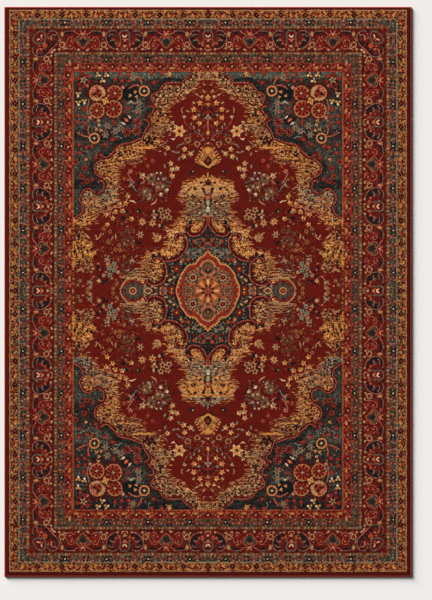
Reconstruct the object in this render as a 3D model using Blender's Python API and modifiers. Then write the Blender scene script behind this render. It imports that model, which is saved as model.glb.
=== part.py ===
"""Power-loomed area rug with an overcast edge, as an assembly of its separate pieces.

The rug lies flat. The origin is on the floor under its middle, +X runs across its width,
+Y along its length and +Z up. All sizes are in metres.

From the floor up it is made of a latex back sizing, three layers of ground-weave yarn and the
wool pile. Each of its four sides has a filler cord, wrapped in a sleeve of serging yarn that
also grips the edge of the ground weave. A care label is stitched on underneath, at one corner.
"""
import math

import bmesh
import bpy
from mathutils import Vector

# Driving dimensions of the rug.
RUG_WIDTH = 2.465
RUG_LENGTH = 3.45
RUG_THICKNESS = 0.012

# Pieces that touch keep this gap.
GAP = 0.0003

# Layers of the rug, from the floor up.
SIZING_THICKNESS = 0.0012
LOWER_WEFT_THICKNESS = 0.0008
STUFFER_WARP_THICKNESS = 0.0010
UPPER_WEFT_THICKNESS = 0.0008
SIZING_BOTTOM = 0.0
LOWER_WEFT_BOTTOM = SIZING_BOTTOM + SIZING_THICKNESS + GAP
STUFFER_WARP_BOTTOM = LOWER_WEFT_BOTTOM + LOWER_WEFT_THICKNESS + GAP
UPPER_WEFT_BOTTOM = STUFFER_WARP_BOTTOM + STUFFER_WARP_THICKNESS + GAP
UPPER_WEFT_TOP = UPPER_WEFT_BOTTOM + UPPER_WEFT_THICKNESS
PILE_BOTTOM = UPPER_WEFT_TOP + GAP
PILE_THICKNESS = RUG_THICKNESS - PILE_BOTTOM
PILE_EDGE_RADIUS = 0.002
PILE_BEVEL_SEGMENTS = 3

# The overcast edge: a round sleeve of yarn around a round cord.
SERGING_RADIUS = 0.0055
SERGING_BORE_RADIUS = 0.0028
CORD_RADIUS = SERGING_BORE_RADIUS - 2 * GAP
GROUND_INSET = 0.008
GROUND_SLOT_INSET = GROUND_INSET - GAP
FACE_INSET = 2 * SERGING_RADIUS + GAP
MITRE_GAP = GAP
ARC_STEP = math.radians(12)
CORD_SIDES = 20

# The care label, in a window of the back sizing.
LABEL_WIDTH = 0.050
LABEL_LENGTH = 0.080
LABEL_THICKNESS = 0.0004
LABEL_WINDOW_MARGIN = 0.004
LABEL_EDGE_DISTANCE = 0.060
LABEL_BOTTOM = SIZING_THICKNESS - LABEL_THICKNESS
THREAD_WIDTH = 0.0008
THREAD_THICKNESS = 0.0004
THREAD_INSET = 0.004
THREAD_BOTTOM = LABEL_BOTTOM - GAP - THREAD_THICKNESS
LABEL_X = RUG_WIDTH / 2 - LABEL_EDGE_DISTANCE - LABEL_WIDTH / 2
LABEL_Y = -RUG_LENGTH / 2 + LABEL_EDGE_DISTANCE + LABEL_LENGTH / 2

# Each side's name, its turn about Z, the rug's half size towards it and half the side's length.
SIDES = (
    ("right", 0.0, RUG_WIDTH / 2, RUG_LENGTH / 2),
    ("top", math.radians(90), RUG_LENGTH / 2, RUG_WIDTH / 2),
    ("left", math.radians(180), RUG_WIDTH / 2, RUG_LENGTH / 2),
    ("bottom", math.radians(270), RUG_LENGTH / 2, RUG_WIDTH / 2),
)

# Each material's colour (linear), roughness and metallic value.
WOOL_RED = ("wool_pile", (0.19, 0.020, 0.012), 0.90, 0.0)
SERGING_RED = ("serging_yarn", (0.24, 0.018, 0.012), 0.75, 0.0)
COTTON = ("cotton_yarn", (0.55, 0.47, 0.35), 0.90, 0.0)
JUTE = ("jute_yarn", (0.42, 0.29, 0.16), 0.90, 0.0)
LATEX = ("latex_sizing", (0.50, 0.43, 0.32), 0.55, 0.0)
LABEL_WHITE = ("label_satin", (0.80, 0.79, 0.75), 0.45, 0.0)
THREAD_WHITE = ("label_thread", (0.70, 0.68, 0.62), 0.60, 0.0)


def clear_scene():
    """Remove every object of the open scene."""
    for item in list(bpy.data.objects):
        bpy.data.objects.remove(item, do_unlink=True)


def make_collection(name):
    """Make a collection in the scene."""
    collection = bpy.data.collections.new(name)
    bpy.context.scene.collection.children.link(collection)
    return collection


def make_material(finish):
    """Make a plain material from its name, colour, roughness and metallic value."""
    name, color, roughness, metallic = finish
    material = bpy.data.materials.get(name) or bpy.data.materials.new(name)
    material.use_nodes = True
    shader = material.node_tree.nodes["Principled BSDF"]
    shader.inputs["Base Color"].default_value = (*color, 1.0)
    shader.inputs["Roughness"].default_value = roughness
    shader.inputs["Metallic"].default_value = metallic
    return material


def move_to(item, collection):
    """Put an object in one collection only."""
    for owner in list(item.users_collection):
        owner.objects.unlink(item)
    collection.objects.link(item)


def make_slab(name, width, length, bottom, thickness, collection, center=(0.0, 0.0)):
    """Make a flat box that stands on the height bottom."""
    bpy.ops.mesh.primitive_cube_add(size=1.0, location=(*center, bottom + thickness / 2))
    slab = bpy.context.object
    slab.name = name
    slab.data.name = name
    for vertex in slab.data.vertices:
        vertex.co = Vector((vertex.co.x * width, vertex.co.y * length, vertex.co.z * thickness))
    move_to(slab, collection)
    return slab


def make_pile(collection):
    """The wool pile: a slab with a rounded rim where the tufts lean out over the edge."""
    width = RUG_WIDTH - 2 * FACE_INSET
    length = RUG_LENGTH - 2 * FACE_INSET
    pile = make_slab("pile", width, length, PILE_BOTTOM, PILE_THICKNESS, collection)
    weight = pile.data.attributes.new("bevel_weight_edge", "FLOAT", "EDGE")
    for edge in pile.data.edges:
        ends = [pile.data.vertices[index].co.z for index in edge.vertices]
        weight.data[edge.index].value = 1.0 if min(ends) > 0 else 0.0
    bevel = pile.modifiers.new("rounded_rim", "BEVEL")
    bevel.limit_method = "WEIGHT"
    bevel.width = PILE_EDGE_RADIUS
    bevel.segments = PILE_BEVEL_SEGMENTS
    pile.data.materials.append(make_material(WOOL_RED))


def make_ground_layer(name, bottom, thickness, finish, collection):
    """One yarn layer of the ground weave, whose edge reaches into the serging."""
    width = RUG_WIDTH - 2 * GROUND_INSET
    length = RUG_LENGTH - 2 * GROUND_INSET
    layer = make_slab(name, width, length, bottom, thickness, collection)
    layer.data.materials.append(make_material(finish))


def make_back_sizing(collection, cutters):
    """The latex coat under the weave, with a window around the care label."""
    width = RUG_WIDTH - 2 * FACE_INSET
    length = RUG_LENGTH - 2 * FACE_INSET
    sizing = make_slab("back_sizing", width, length, SIZING_BOTTOM, SIZING_THICKNESS, collection)
    window = make_slab(
        "label_window_cutter",
        LABEL_WIDTH + 2 * LABEL_WINDOW_MARGIN,
        LABEL_LENGTH + 2 * LABEL_WINDOW_MARGIN,
        SIZING_BOTTOM - SIZING_THICKNESS,
        3 * SIZING_THICKNESS,
        cutters,
        center=(LABEL_X, LABEL_Y),
    )
    window.hide_render = True
    window.display_type = "WIRE"
    cut = sizing.modifiers.new("label_window", "BOOLEAN")
    cut.operation = "DIFFERENCE"
    cut.solver = "EXACT"
    cut.object = window
    sizing.data.materials.append(make_material(LATEX))


def arc_points(center, radius, start, end):
    """Points along an arc of (x, z), both ends included."""
    count = max(1, math.ceil(abs(end - start) / ARC_STEP))
    points = []
    for index in range(count + 1):
        angle = start + (end - start) * index / count
        points.append((center[0] + radius * math.cos(angle), center[1] + radius * math.sin(angle)))
    return points


def serging_profile():
    """The sleeve's outline, (x, z) from the rug's edge: a round bead with a slot inwards.

    The slot takes the edge of the three ground layers, and ends in the bore for the cord.
    """
    center = (-SERGING_RADIUS, SERGING_RADIUS)
    slot_bottom = LOWER_WEFT_BOTTOM - GAP
    slot_top = UPPER_WEFT_TOP + GAP
    outer_start = -math.pi + math.asin((center[1] - slot_bottom) / SERGING_RADIUS)
    outer_end = math.pi + math.asin((center[1] - slot_top) / SERGING_RADIUS)
    slot_end_x = -GROUND_SLOT_INSET
    bore_start = -math.pi + math.acos((center[0] - slot_end_x) / SERGING_BORE_RADIUS)
    bore_end = math.pi + math.asin((center[1] - slot_top) / SERGING_BORE_RADIUS)
    outer = arc_points(center, SERGING_RADIUS, outer_start, outer_end)
    bore = arc_points(center, SERGING_BORE_RADIUS, bore_end, bore_start)
    return outer + bore + [(slot_end_x, slot_bottom)]


def cord_profile():
    """The filler cord's round outline, (x, z) from the rug's edge."""
    full_turn = 2 * math.pi
    return [
        (
            -SERGING_RADIUS + CORD_RADIUS * math.cos(full_turn * index / CORD_SIDES),
            SERGING_RADIUS + CORD_RADIUS * math.sin(full_turn * index / CORD_SIDES),
        )
        for index in range(CORD_SIDES)
    ]


def make_mitred_bar(name, profile, side, finish, collection):
    """Run an outline along one side of the rug, with both ends mitred into the corners."""
    turn, half_span, half_length = side
    mesh = bpy.data.meshes.new(name)
    shape = bmesh.new()
    ring = [shape.verts.new((x, 0.0, z)) for x, z in profile]
    face = shape.faces.new(ring)
    far = bmesh.ops.extrude_face_region(shape, geom=[face], use_keep_orig=True)
    far_end = [item for item in far["geom"] if isinstance(item, bmesh.types.BMVert)]
    for vertex in far_end:
        vertex.co.y = half_length - MITRE_GAP + vertex.co.x
    for vertex in ring:
        vertex.co.y = -half_length + MITRE_GAP - vertex.co.x
    bmesh.ops.recalc_face_normals(shape, faces=shape.faces)
    shape.to_mesh(mesh)
    shape.free()
    mesh.shade_smooth()
    mesh.set_sharp_from_angle(angle=math.radians(40))
    bar = bpy.data.objects.new(name, mesh)
    collection.objects.link(bar)
    bar.rotation_euler = (0.0, 0.0, turn)
    bar.location = (half_span * math.cos(turn), half_span * math.sin(turn), 0.0)
    mesh.materials.append(make_material(finish))


def make_edges(collection):
    """The filler cord and the serging sleeve of all four sides."""
    for name, *side in SIDES:
        make_mitred_bar(f"{name}_edge_cord", cord_profile(), side, COTTON, collection)
        make_mitred_bar(f"{name}_serging", serging_profile(), side, SERGING_RED, collection)


def make_care_label(collection):
    """The blank label, held under the weave inside the sizing's window."""
    label = make_slab(
        "care_label",
        LABEL_WIDTH,
        LABEL_LENGTH,
        LABEL_BOTTOM,
        LABEL_THICKNESS,
        collection,
        center=(LABEL_X, LABEL_Y),
    )
    label.data.materials.append(make_material(LABEL_WHITE))


def make_label_thread(collection, cutters):
    """The closed run of stitching near the label's rim."""
    width = LABEL_WIDTH - 2 * THREAD_INSET
    length = LABEL_LENGTH - 2 * THREAD_INSET
    center = (LABEL_X, LABEL_Y)
    thread = make_slab(
        "label_thread", width, length, THREAD_BOTTOM, THREAD_THICKNESS, collection, center=center
    )
    middle = make_slab(
        "label_thread_cutter",
        width - 2 * THREAD_WIDTH,
        length - 2 * THREAD_WIDTH,
        THREAD_BOTTOM - THREAD_THICKNESS,
        3 * THREAD_THICKNESS,
        cutters,
        center=center,
    )
    middle.hide_render = True
    middle.display_type = "WIRE"
    cut = thread.modifiers.new("open_middle", "BOOLEAN")
    cut.operation = "DIFFERENCE"
    cut.solver = "EXACT"
    cut.object = middle
    thread.data.materials.append(make_material(THREAD_WHITE))


def main():
    """Build the whole rug."""
    clear_scene()
    rug = make_collection("area_rug")
    cutters = make_collection("cutters")
    make_pile(rug)
    make_ground_layer("upper_weft", UPPER_WEFT_BOTTOM, UPPER_WEFT_THICKNESS, JUTE, rug)
    make_ground_layer("stuffer_warp", STUFFER_WARP_BOTTOM, STUFFER_WARP_THICKNESS, COTTON, rug)
    make_ground_layer("lower_weft", LOWER_WEFT_BOTTOM, LOWER_WEFT_THICKNESS, JUTE, rug)
    make_back_sizing(rug, cutters)
    make_edges(rug)
    make_care_label(rug)
    make_label_thread(rug, cutters)


main()
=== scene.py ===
"""An area rug: wool pile with a medallion pattern, serged edges, a woven back and a care label."""

import math

import bmesh
import bpy
import mathutils
import numpy as np
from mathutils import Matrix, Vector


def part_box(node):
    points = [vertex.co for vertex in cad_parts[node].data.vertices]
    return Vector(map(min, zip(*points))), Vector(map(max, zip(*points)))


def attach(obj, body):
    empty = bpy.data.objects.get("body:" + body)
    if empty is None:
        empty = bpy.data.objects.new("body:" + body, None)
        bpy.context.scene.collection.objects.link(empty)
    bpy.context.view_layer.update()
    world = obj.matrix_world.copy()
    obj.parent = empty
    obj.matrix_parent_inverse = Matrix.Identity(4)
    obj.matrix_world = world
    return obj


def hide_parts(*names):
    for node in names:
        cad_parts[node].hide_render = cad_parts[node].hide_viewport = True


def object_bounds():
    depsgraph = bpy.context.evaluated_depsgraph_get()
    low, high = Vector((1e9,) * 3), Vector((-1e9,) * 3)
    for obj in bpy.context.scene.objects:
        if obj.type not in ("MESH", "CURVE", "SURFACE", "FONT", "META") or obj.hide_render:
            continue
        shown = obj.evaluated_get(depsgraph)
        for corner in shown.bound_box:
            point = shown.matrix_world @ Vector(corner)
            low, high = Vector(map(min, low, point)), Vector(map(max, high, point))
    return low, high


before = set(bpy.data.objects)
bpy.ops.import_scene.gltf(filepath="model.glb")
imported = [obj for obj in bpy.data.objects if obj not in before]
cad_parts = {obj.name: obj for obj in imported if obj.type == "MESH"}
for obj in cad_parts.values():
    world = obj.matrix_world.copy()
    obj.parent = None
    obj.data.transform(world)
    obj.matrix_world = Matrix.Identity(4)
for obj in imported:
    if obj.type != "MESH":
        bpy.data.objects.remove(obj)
cad_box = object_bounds()

# The pile: its grid of faces, and how many knots one face is across and along.
KNOTS_PER_FACE = 4
FACES_ACROSS = 264
FACES_ALONG = 370

# Driving sizes, in metres.
PATTERN_SHIFT = 0.0058
PILE_ROUNDING = 0.0020
PILE_SIDE_DEPTH = 0.0060
PILE_WAVE = 0.00022
PILE_WAVE_ROOM = 0.0003
SERGING_RADIUS = 0.0055
WRAP_PITCH = 0.0030
WRAP_RELIEF = 0.0006
WRAP_SLANT = 0.0030
WEFT_PITCH = 0.0016
WARP_PITCH = 0.0024
CORD_PITCH = 0.0022
FAN_LENGTH = 0.060
MITRE_GAP = 0.00015
RIB_PITCH = 0.0046
RIB_DEPTH = 0.0005
STRAND_PITCH = 0.0023
BACK_SWAY = 0.00012
BACK_SWAY_ROOM = 0.00015
LABEL_CENTER = (1.1475, -1.625)
WINDOW_SIZE = (0.058, 0.088)
LABEL_THICKNESS = 0.00022
LABEL_FOLD = 0.00008
LABEL_RIPPLE = 0.00003
LABEL_CLEARANCE = 0.00012
STITCH_PITCH = 0.0040
STITCH_SIZE = (0.0015, 0.0004, 0.00022)
FLOOR_SIZE = 40.0
FLOOR_CLEARANCE = 0.0002
CAMERA_OFFSET = (0.0485, -0.0488)
CAMERA_FRAME_HEIGHT = 3.629
# The camera's lens and sensor, in millimetres.
CAMERA_LENS = 120.0
SENSOR_HEIGHT = 36.0

# The label's folded ends start at this share of its half length.
LABEL_FOLD_START = 0.86
# The wound yarn: how far it goes round the edge each way in degrees, its points across, and how much
# the yarns' crests differ.
WRAP_REACH = 158
WRAP_POINTS = 13
WRAP_VARIATION = 0.18

RUG_LOW, RUG_HIGH = cad_box
PILE_LOW, PILE_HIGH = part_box("pile")


# ---------------------------------------------------------------------------------------------
# The draft: the pattern, knot by knot. Its sizes are in centimetres from the pattern's middle.
# ---------------------------------------------------------------------------------------------

# The rug lies a little stretched: its pattern's centimetres are slightly short.
PATTERN_SCALE = 0.998

# The dyed yarns, as display colours from 0 to 255.
YARNS = {
    "wine": (76, 17, 11),
    "red": (98, 20, 11),
    "dusk_red": (86, 17, 10),
    "brick": (136, 38, 24),
    "rust": (172, 74, 42),
    "salmon": (188, 106, 84),
    "gold": (204, 130, 62),
    "ochre": (148, 94, 52),
    "tan": (180, 134, 90),
    "cream": (226, 186, 140),
    "sage": (126, 122, 98),
    "teal": (72, 74, 64),
    "slate": (48, 48, 42),
    "navy": (20, 22, 23),
    "maroon": (46, 10, 8),
    "brown": (98, 64, 42),
}
# A knot's yarn is one digit of this base where a face's knots are packed together.
CODE_BASE = 16.0
# Places whose yarn is chosen row by row, because its dye lots vary along the rug.
GROUND = "ground"
GILT = "gilt"
CLOUD = "cloud"
FIELD = "field"
CODES = {name: code for code, name in enumerate([*YARNS, GROUND, GILT, CLOUD, FIELD])}


class Draft:
    """One quarter of the pattern, as a grid of knots. Row 0 and column 0 lie on its middle."""

    def __init__(self, width, length, knot):
        self.knot = knot
        self.rows = math.ceil(length / knot)
        self.columns = math.ceil(width / knot)
        self.knots = np.full((self.rows, self.columns), CODES["wine"], np.uint8)

    def window(self, center, reach):
        """The grid's slices around a point, and the places of the knots in them."""
        low_row = min(max(int((center.imag - reach) / self.knot), 0), self.rows)
        high_row = min(max(int((center.imag + reach) / self.knot) + 1, 0), self.rows)
        low_column = min(max(int((center.real - reach) / self.knot), 0), self.columns)
        high_column = min(max(int((center.real + reach) / self.knot) + 1, 0), self.columns)
        y = (np.arange(low_row, high_row) + 0.5) * self.knot
        x = (np.arange(low_column, high_column) + 0.5) * self.knot
        area = (slice(low_row, high_row), slice(low_column, high_column))
        return area, x[None, :] + 1j * y[:, None]

    def fill(self, outline, yarn, comb):
        """Fill an outline row by row. comb is how far the rows' ends stray sideways."""
        nexts = np.roll(outline, -1)
        low = max(int(outline.imag.min() / self.knot), 0)
        high = min(int(outline.imag.max() / self.knot) + 1, self.rows)
        for row in range(low, high):
            level = (row + 0.5) * self.knot
            crosses = (outline.imag <= level) != (nexts.imag <= level)
            here, there = outline[crosses], nexts[crosses]
            share = (level - here.imag) / (there.imag - here.imag)
            ends = np.sort(here.real + share * (there.real - here.real))
            if comb:
                strays = [scatter(row // 3, index) for index in range(len(ends))]
                ends = ends + comb * np.array(strays)
            for left, right in zip(ends[::2], ends[1::2]):
                first = max(round(left / self.knot), 0)
                last = max(round(right / self.knot), 0)
                self.knots[row, first:last] = CODES[yarn]

    def stamp(self, centers, radii, yarn):
        """Colour a round spot at every center."""
        reach = int(radii.max() / self.knot) + 1
        steps = np.arange(-reach, reach + 1)
        rows = np.floor(centers.imag / self.knot).astype(int)[:, None, None] + steps[None, :, None]
        columns = np.floor(centers.real / self.knot).astype(int)[:, None, None] + steps[None, None, :]
        y = (rows + 0.5) * self.knot - centers.imag[:, None, None]
        x = (columns + 0.5) * self.knot - centers.real[:, None, None]
        inside = (x * x + y * y) <= (radii * radii)[:, None, None]
        inside = inside & (rows >= 0) & (rows < self.rows) & (columns >= 0) & (columns < self.columns)
        rows, columns = np.broadcast_arrays(rows, columns)
        self.knots[rows[inside], columns[inside]] = CODES[yarn]


def chance(first, second=0):
    """A fixed pseudo-random number from 0 to 1 for a pair of whole numbers, or for arrays of them."""
    return np.modf(np.abs(np.sin(first * 12.9898 + second * 78.233) * 43758.5453))[0]


def scatter(first, second=0):
    """A fixed pseudo-random number from -1 to 1 for a pair of whole numbers."""
    return 2 * chance(first, second) - 1


def bend(points, step, closed=False):
    """A smooth curve through given points (Catmull-Rom), as complex numbers."""
    knots = [complex(*point) for point in points]
    if closed:
        knots = [knots[-1], *knots, knots[0], knots[1]]
    else:
        knots = [2 * knots[0] - knots[1], *knots, 2 * knots[-1] - knots[-2]]
    path = []
    for a, b, c, d in zip(knots, knots[1:], knots[2:], knots[3:]):
        count = max(2, math.ceil(abs(c - b) / step))
        t = np.arange(count) / count
        path.append(
            0.5 * (2 * b + (c - a) * t + (2 * a - 5 * b + 4 * c - d) * t**2 + (3 * b - a - 3 * c + d) * t**3)
        )
    if not closed:
        path.append(np.array([knots[-2]]))
    return np.concatenate(path)


class Pen:
    """Draws on a draft, from its own origin and along its own axes."""

    def __init__(self, draft, place=0j, spin=1 + 0j, flipped=False):
        self.draft = draft
        self.place = place
        self.spin = spin
        self.flipped = flipped

    def out(self, z):
        """From the pen's own places to the draft's."""
        z = np.conj(z) if self.flipped else z
        return self.place + self.spin * z

    def at(self, x, y, turn=0.0, scale=1.0, flip=False):
        """A pen at a place on this one's axes, turned by degrees and mirrored across its x axis."""
        spin = scale * complex(math.cos(math.radians(turn)), math.sin(math.radians(turn)))
        spin = spin.conjugate() if self.flipped else spin
        return Pen(self.draft, complex(self.out(complex(x, y))), self.spin * spin, self.flipped != flip)

    def paint(self, reach, yarn, inside):
        """Colour the knots near the pen where inside, a test of their places, is true."""
        area, z = self.draft.window(self.place, reach * abs(self.spin))
        z = (z - self.place) / self.spin
        z = np.conj(z) if self.flipped else z
        block = self.draft.knots[area]
        block[inside(z)] = CODES[yarn]

    def disc(self, radius, yarn):
        self.paint(radius, yarn, lambda z: np.abs(z) <= radius)

    def ring(self, inner, outer, yarn):
        self.paint(outer, yarn, lambda z: (np.abs(z) <= outer) & (np.abs(z) >= inner))

    def lobes(self, radius, count, yarn, depth=0.25, turn=0.0):
        """A flower with round lobes."""
        lean = math.radians(turn)
        self.paint(
            radius, yarn,
            lambda z: np.abs(z) <= radius * (
                1 - depth + depth * np.abs(np.cos(count / 2 * (np.angle(z) - lean)))
            ),
        )

    def star(self, radius, count, yarn, depth=0.6, turn=0.0):
        """A flower with pointed petals."""
        lean = math.radians(turn)
        self.paint(
            radius,
            yarn,
            lambda z: np.abs(z) <= radius * (1 - depth * np.abs(np.sin(count / 2 * (np.angle(z) - lean)))),
        )

    def spokes(self, inner, outer, count, yarn, share=0.5, turn=0.0):
        """Radial petals between two radii, each as wide as its share of its sector."""
        lean = math.radians(turn)
        limit = math.cos(math.pi * share)
        self.paint(
            outer, yarn,
            lambda z: (np.abs(z) >= inner) & (np.abs(z) <= outer) & (
                np.cos(count * (np.angle(z) - lean)) >= limit
            ),
        )

    def oval(self, half_width, half_height, yarn):
        self.paint(
            max(half_width, half_height),
            yarn,
            lambda z: (z.real / half_width) ** 2 + (z.imag / half_height) ** 2 <= 1,
        )

    def leaf(self, length, width, yarn):
        """A pointed leaf that starts at the pen and grows along its x axis."""
        self.paint(
            length,
            yarn,
            lambda z: (z.real >= 0)
            & (z.real <= length)
            & (np.abs(z.imag) <= width / 2 * np.sin(np.pi * np.clip(z.real / length, 0, 1)) ** 0.8),
        )

    def line(self, points, width, yarn, closed=False, tip=1.0, shift=0.0):
        """A line through given points, shifted to its left. tip is its ends' share of its width."""
        path = bend(points, 0.5 * self.draft.knot / abs(self.spin), closed)
        heading = np.gradient(path)
        path = self.out(path + 1j * shift * heading / np.maximum(np.abs(heading), 1e-9))
        along = np.linspace(-1, 1, len(path))
        radii = 0.5 * width * abs(self.spin) * (1 - (1 - tip) * along**2)
        self.draft.stamp(path, np.maximum(radii, 0.55 * self.draft.knot), yarn)

    def beads(self, points, spacing, radius, yarn, shift=0.0):
        """Round beads beside a curve, evenly spaced along it."""
        path = bend(points, 0.2)
        heading = np.gradient(path)
        beside = path + 1j * shift * heading / np.maximum(np.abs(heading), 1e-9)
        run = np.cumsum(np.abs(np.diff(path)))
        for place in beside[np.searchsorted(run, np.arange(0, run[-1], spacing))]:
            self.at(place.real, place.imag).disc(radius, yarn)

    def area(self, points, yarn, comb=0.0, smooth=True):
        """Fill the outline through the given points."""
        if smooth:
            outline = bend(points, 0.4, closed=True)
        else:
            outline = np.array([complex(*point) for point in points])
        self.draft.fill(self.out(outline), yarn, comb)

    def box(self, low_x, low_y, high_x, high_y, yarn):
        self.area([(low_x, low_y), (high_x, low_y), (high_x, high_y), (low_x, high_y)], yarn, smooth=False)

    def marks(self, *rows):
        """Spots (x, y, radius, yarn), ovals (x, y, half width, half height, yarn) and leaves
        (x, y, turn, length, width, yarn)."""
        for x, y, *rest in rows:
            if len(rest) == 4:
                self.at(x, y, rest[0]).leaf(*rest[1:])
            elif len(rest) == 3:
                self.at(x, y).oval(*rest)
            else:
                self.at(x, y).disc(*rest)


# ---------------------------------------------------------------------------------------------
# Small motifs that several bands and the field share
# ---------------------------------------------------------------------------------------------


def both_sides(pen):
    """The pen, and the pen mirrored left to right."""
    return pen, pen.at(0, 0, 180, flip=True)


def eye(pen, radius, petals, heart):
    """A small round flower: petals round a bright heart."""
    pen.lobes(radius, 4, petals, depth=0.3, turn=45)
    pen.disc(radius * 0.42, heart)


def blossom(pen, radius, petals, heart, count=5, turn=45.0):
    """An open flower with pointed petals, a bright side and a dark heart."""
    pen.at(0.3 * radius, -0.3 * radius).star(radius, count, "maroon", depth=0.4, turn=turn + 20)
    pen.star(1.15 * radius, count, petals, depth=0.52, turn=turn)
    pen.at(-0.35 * radius, 0.35 * radius).disc(
        0.28 * radius, "cream" if petals in ("gold", "tan") else petals,
    )
    pen.disc(0.26 * radius, heart)


def bed(pen, places, motif, *looks, **shape):
    """The same motif at each place, turned a little differently each time."""
    for index, (x, y) in enumerate(places):
        motif(pen.at(x, y, 40 * scatter(index, len(places))), *looks, **shape)


def sprinkle(pen, ground, low, high, spacing, mark, seed):
    """A mark on a loose grid over the box from low to high, where its ground still shows."""
    draft = pen.draft
    for row in range(int((high[1] - low[1]) / spacing)):
        for column in range(int((high[0] - low[0]) / spacing)):
            x = low[0] + spacing * (column + 0.5 + 0.45 * scatter(row * 57 + seed, column))
            y = low[1] + spacing * (row + 0.5 + 0.45 * scatter(row * 31 + seed, column + 500))
            place = pen.out(complex(x, y)) / draft.knot
            if draft.knots[int(place.imag), int(place.real)] == CODES[ground]:
                mark(pen.at(x, y), scatter(row + seed, column))


def dash(yarn, length, height):
    """A mark for sprinkle: a short run of knots along a row."""
    return lambda pen, luck: pen.oval(length * (1 + 0.4 * luck) / 2, height / 2, yarn)


def fleck(yarn, length, width):
    """A mark for sprinkle: a small leaf that points anywhere."""
    return lambda pen, luck: pen.at(0, 0, 180 * luck).leaf(length, width, yarn)


def strew(pen, ground, low, high, *rows):
    """Several sprinklings of one box: each one's spacing, kind of mark, yarn, length, width and seed."""
    for spacing, mark, yarn, length, width, seed in rows:
        sprinkle(pen, ground, low, high, spacing, mark(yarn, length, width), seed)


# ---------------------------------------------------------------------------------------------
# The border's bands, drawn along s, with t outwards from each band's inner edge
# ---------------------------------------------------------------------------------------------


def gold_guard(pen, length, period):
    """Maroon rosettes and slanted leaves, 4.5 cm wide."""
    for index in range(int(length / period) + 1):
        rosette = pen.at(index * period, 2.3)
        rosette.lobes(1.8, 4, "maroon", depth=0.4)
        rosette.disc(0.4, "rust")
        for place in both_sides(rosette):
            place.marks(
                (2.0, 1.2, 25, 2.4, 0.8, "gold"), (0.9, 1.9, 120, 1.5, 0.8, "wine"),
                (1.9, -0.8, -20, 2.6, 1.0, "ochre"), (3.4, -1.4, 0.55, "slate"),
                (3.2, 0.2, 60, 1.6, 0.9, "brick"), (4.7, 1.3, 0.6, "maroon"),
                (5.1, -0.9, 20, 1.6, 0.9, "gold"),
            )
        middle = pen.at((index + 0.5) * period, 2.3)
        middle.marks(
            (-1.2, 1.7, -55, 4.2, 1.5, "brick"), (1.6, 1.2, 200, 2.0, 0.9, "navy"),
            (-2.2, -1.0, 0.6, "navy"), (-0.4, -1.2, 10, 2.2, 0.9, "brown"),
            (1.9, -0.6, 70, 2.3, 0.9, "gold"),
        )


def rosette_guard(pen, length, period, ground):
    """White and orange rosettes in turn, with slanted leaves between them, 4 cm wide."""
    for index in range(int(length / period) + 1):
        white = pen.at((index - 0.07) * period, 1.9)
        white.star(1.9, 4, "navy", depth=0.3, turn=45 * (index % 2))
        white.disc(0.42, "cream")
        orange = pen.at((index + 0.43) * period, 1.9)
        for angle in (45, 135, 225, 315):
            orange.at(0, 0, angle).at(1.0, 0).leaf(1.3, 1.1, "navy")
        orange.disc(0.55, "rust")
        for place in both_sides(white) + both_sides(orange):
            place.marks(
                (2.1, -1.2, 38, 2.9, 0.8, "brick"), (1.7, 1.3, -12, 1.6, 0.6, "rust"),
                (3.2, 1.5, -50, 1.7, 0.9, "navy"), (3.1, -1.6, 5, 1.5, 0.8, "ochre"),
                (2.1, 0.0, 0.42, ground), (4.4, 0.9, 0.5, "salmon"),
            )
        for place in both_sides(white):
            place.marks((1.3, 0.9, 25, 2.2, 1.1, "navy"), (1.3, -1.0, -25, 2.2, 1.1, "navy"))


def red_guard(pen, length, period):
    """Cream dots and gold patches on a brick ground, 4.4 cm wide."""
    for index in range(int(length / period) + 1):
        dot = pen.at(index * period, 2.6)
        dot.star(1.9, 4, "wine", depth=0.3)
        dot.disc(0.4, "cream")
        for place in both_sides(dot):
            place.marks(
                (2.0, -1.1, 15, 2.0, 0.9, "rust"), (2.6, 0.9, -35, 1.9, 0.8, "slate"),
                (4.0, -0.3, 60, 1.8, 0.8, "rust"),
            )
        patch = pen.at((index + 0.5) * period, 1.7)
        patch.oval(1.9, 0.8, "ochre")
        patch.marks(
            (0.4, 0.2, 0.8, 0.5, "gold"), (0.2, 1.7, 0.7, "maroon"), (-1.9, 1.5, 30, 1.8, 0.9, "salmon"),
            (1.7, 1.7, -20, 1.8, 0.8, "navy"),
        )


DOT_PERIOD = 2.1


def dotted_stripe(pen, length, width):
    """Pale dots on a brown stripe, with a dark red dot at every sixth place."""
    for index in range(int(length / DOT_PERIOD) + 1):
        dot = pen.at(index * DOT_PERIOD, width / 2)
        yarn = "brick" if index % 6 == 3 else ("ochre", "tan", "ochre", "sage", "ochre")[index % 5]
        dot.oval(0.72, 0.34 * width, yarn)
        dot.disc(0.25, "brown")


def joint(pen):
    """The gold flower, the fleur and the buds where two cartouches meet."""
    pen.marks((0, 12.6, -90, 3.6, 2.2, "ochre"), (0, 11.9, -90, 2.2, 1.1, "tan"))
    flower = pen.at(0, 4.4)
    flower.disc(2.3, "maroon")
    flower.lobes(2.0, 7, "tan", depth=0.3)
    flower.spokes(0.8, 1.7, 7, "rust", share=0.3, turn=26)
    flower.disc(1.15, "wine")
    flower.disc(0.5, "brick")
    for side, height in zip(both_sides(pen), (1.2, 1.7)):
        side.marks((2.6, height, 150, 1.8, 1.1, "tan"), (4.0, height - 0.6, 170, 2.0, 0.9, "navy"))


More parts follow.
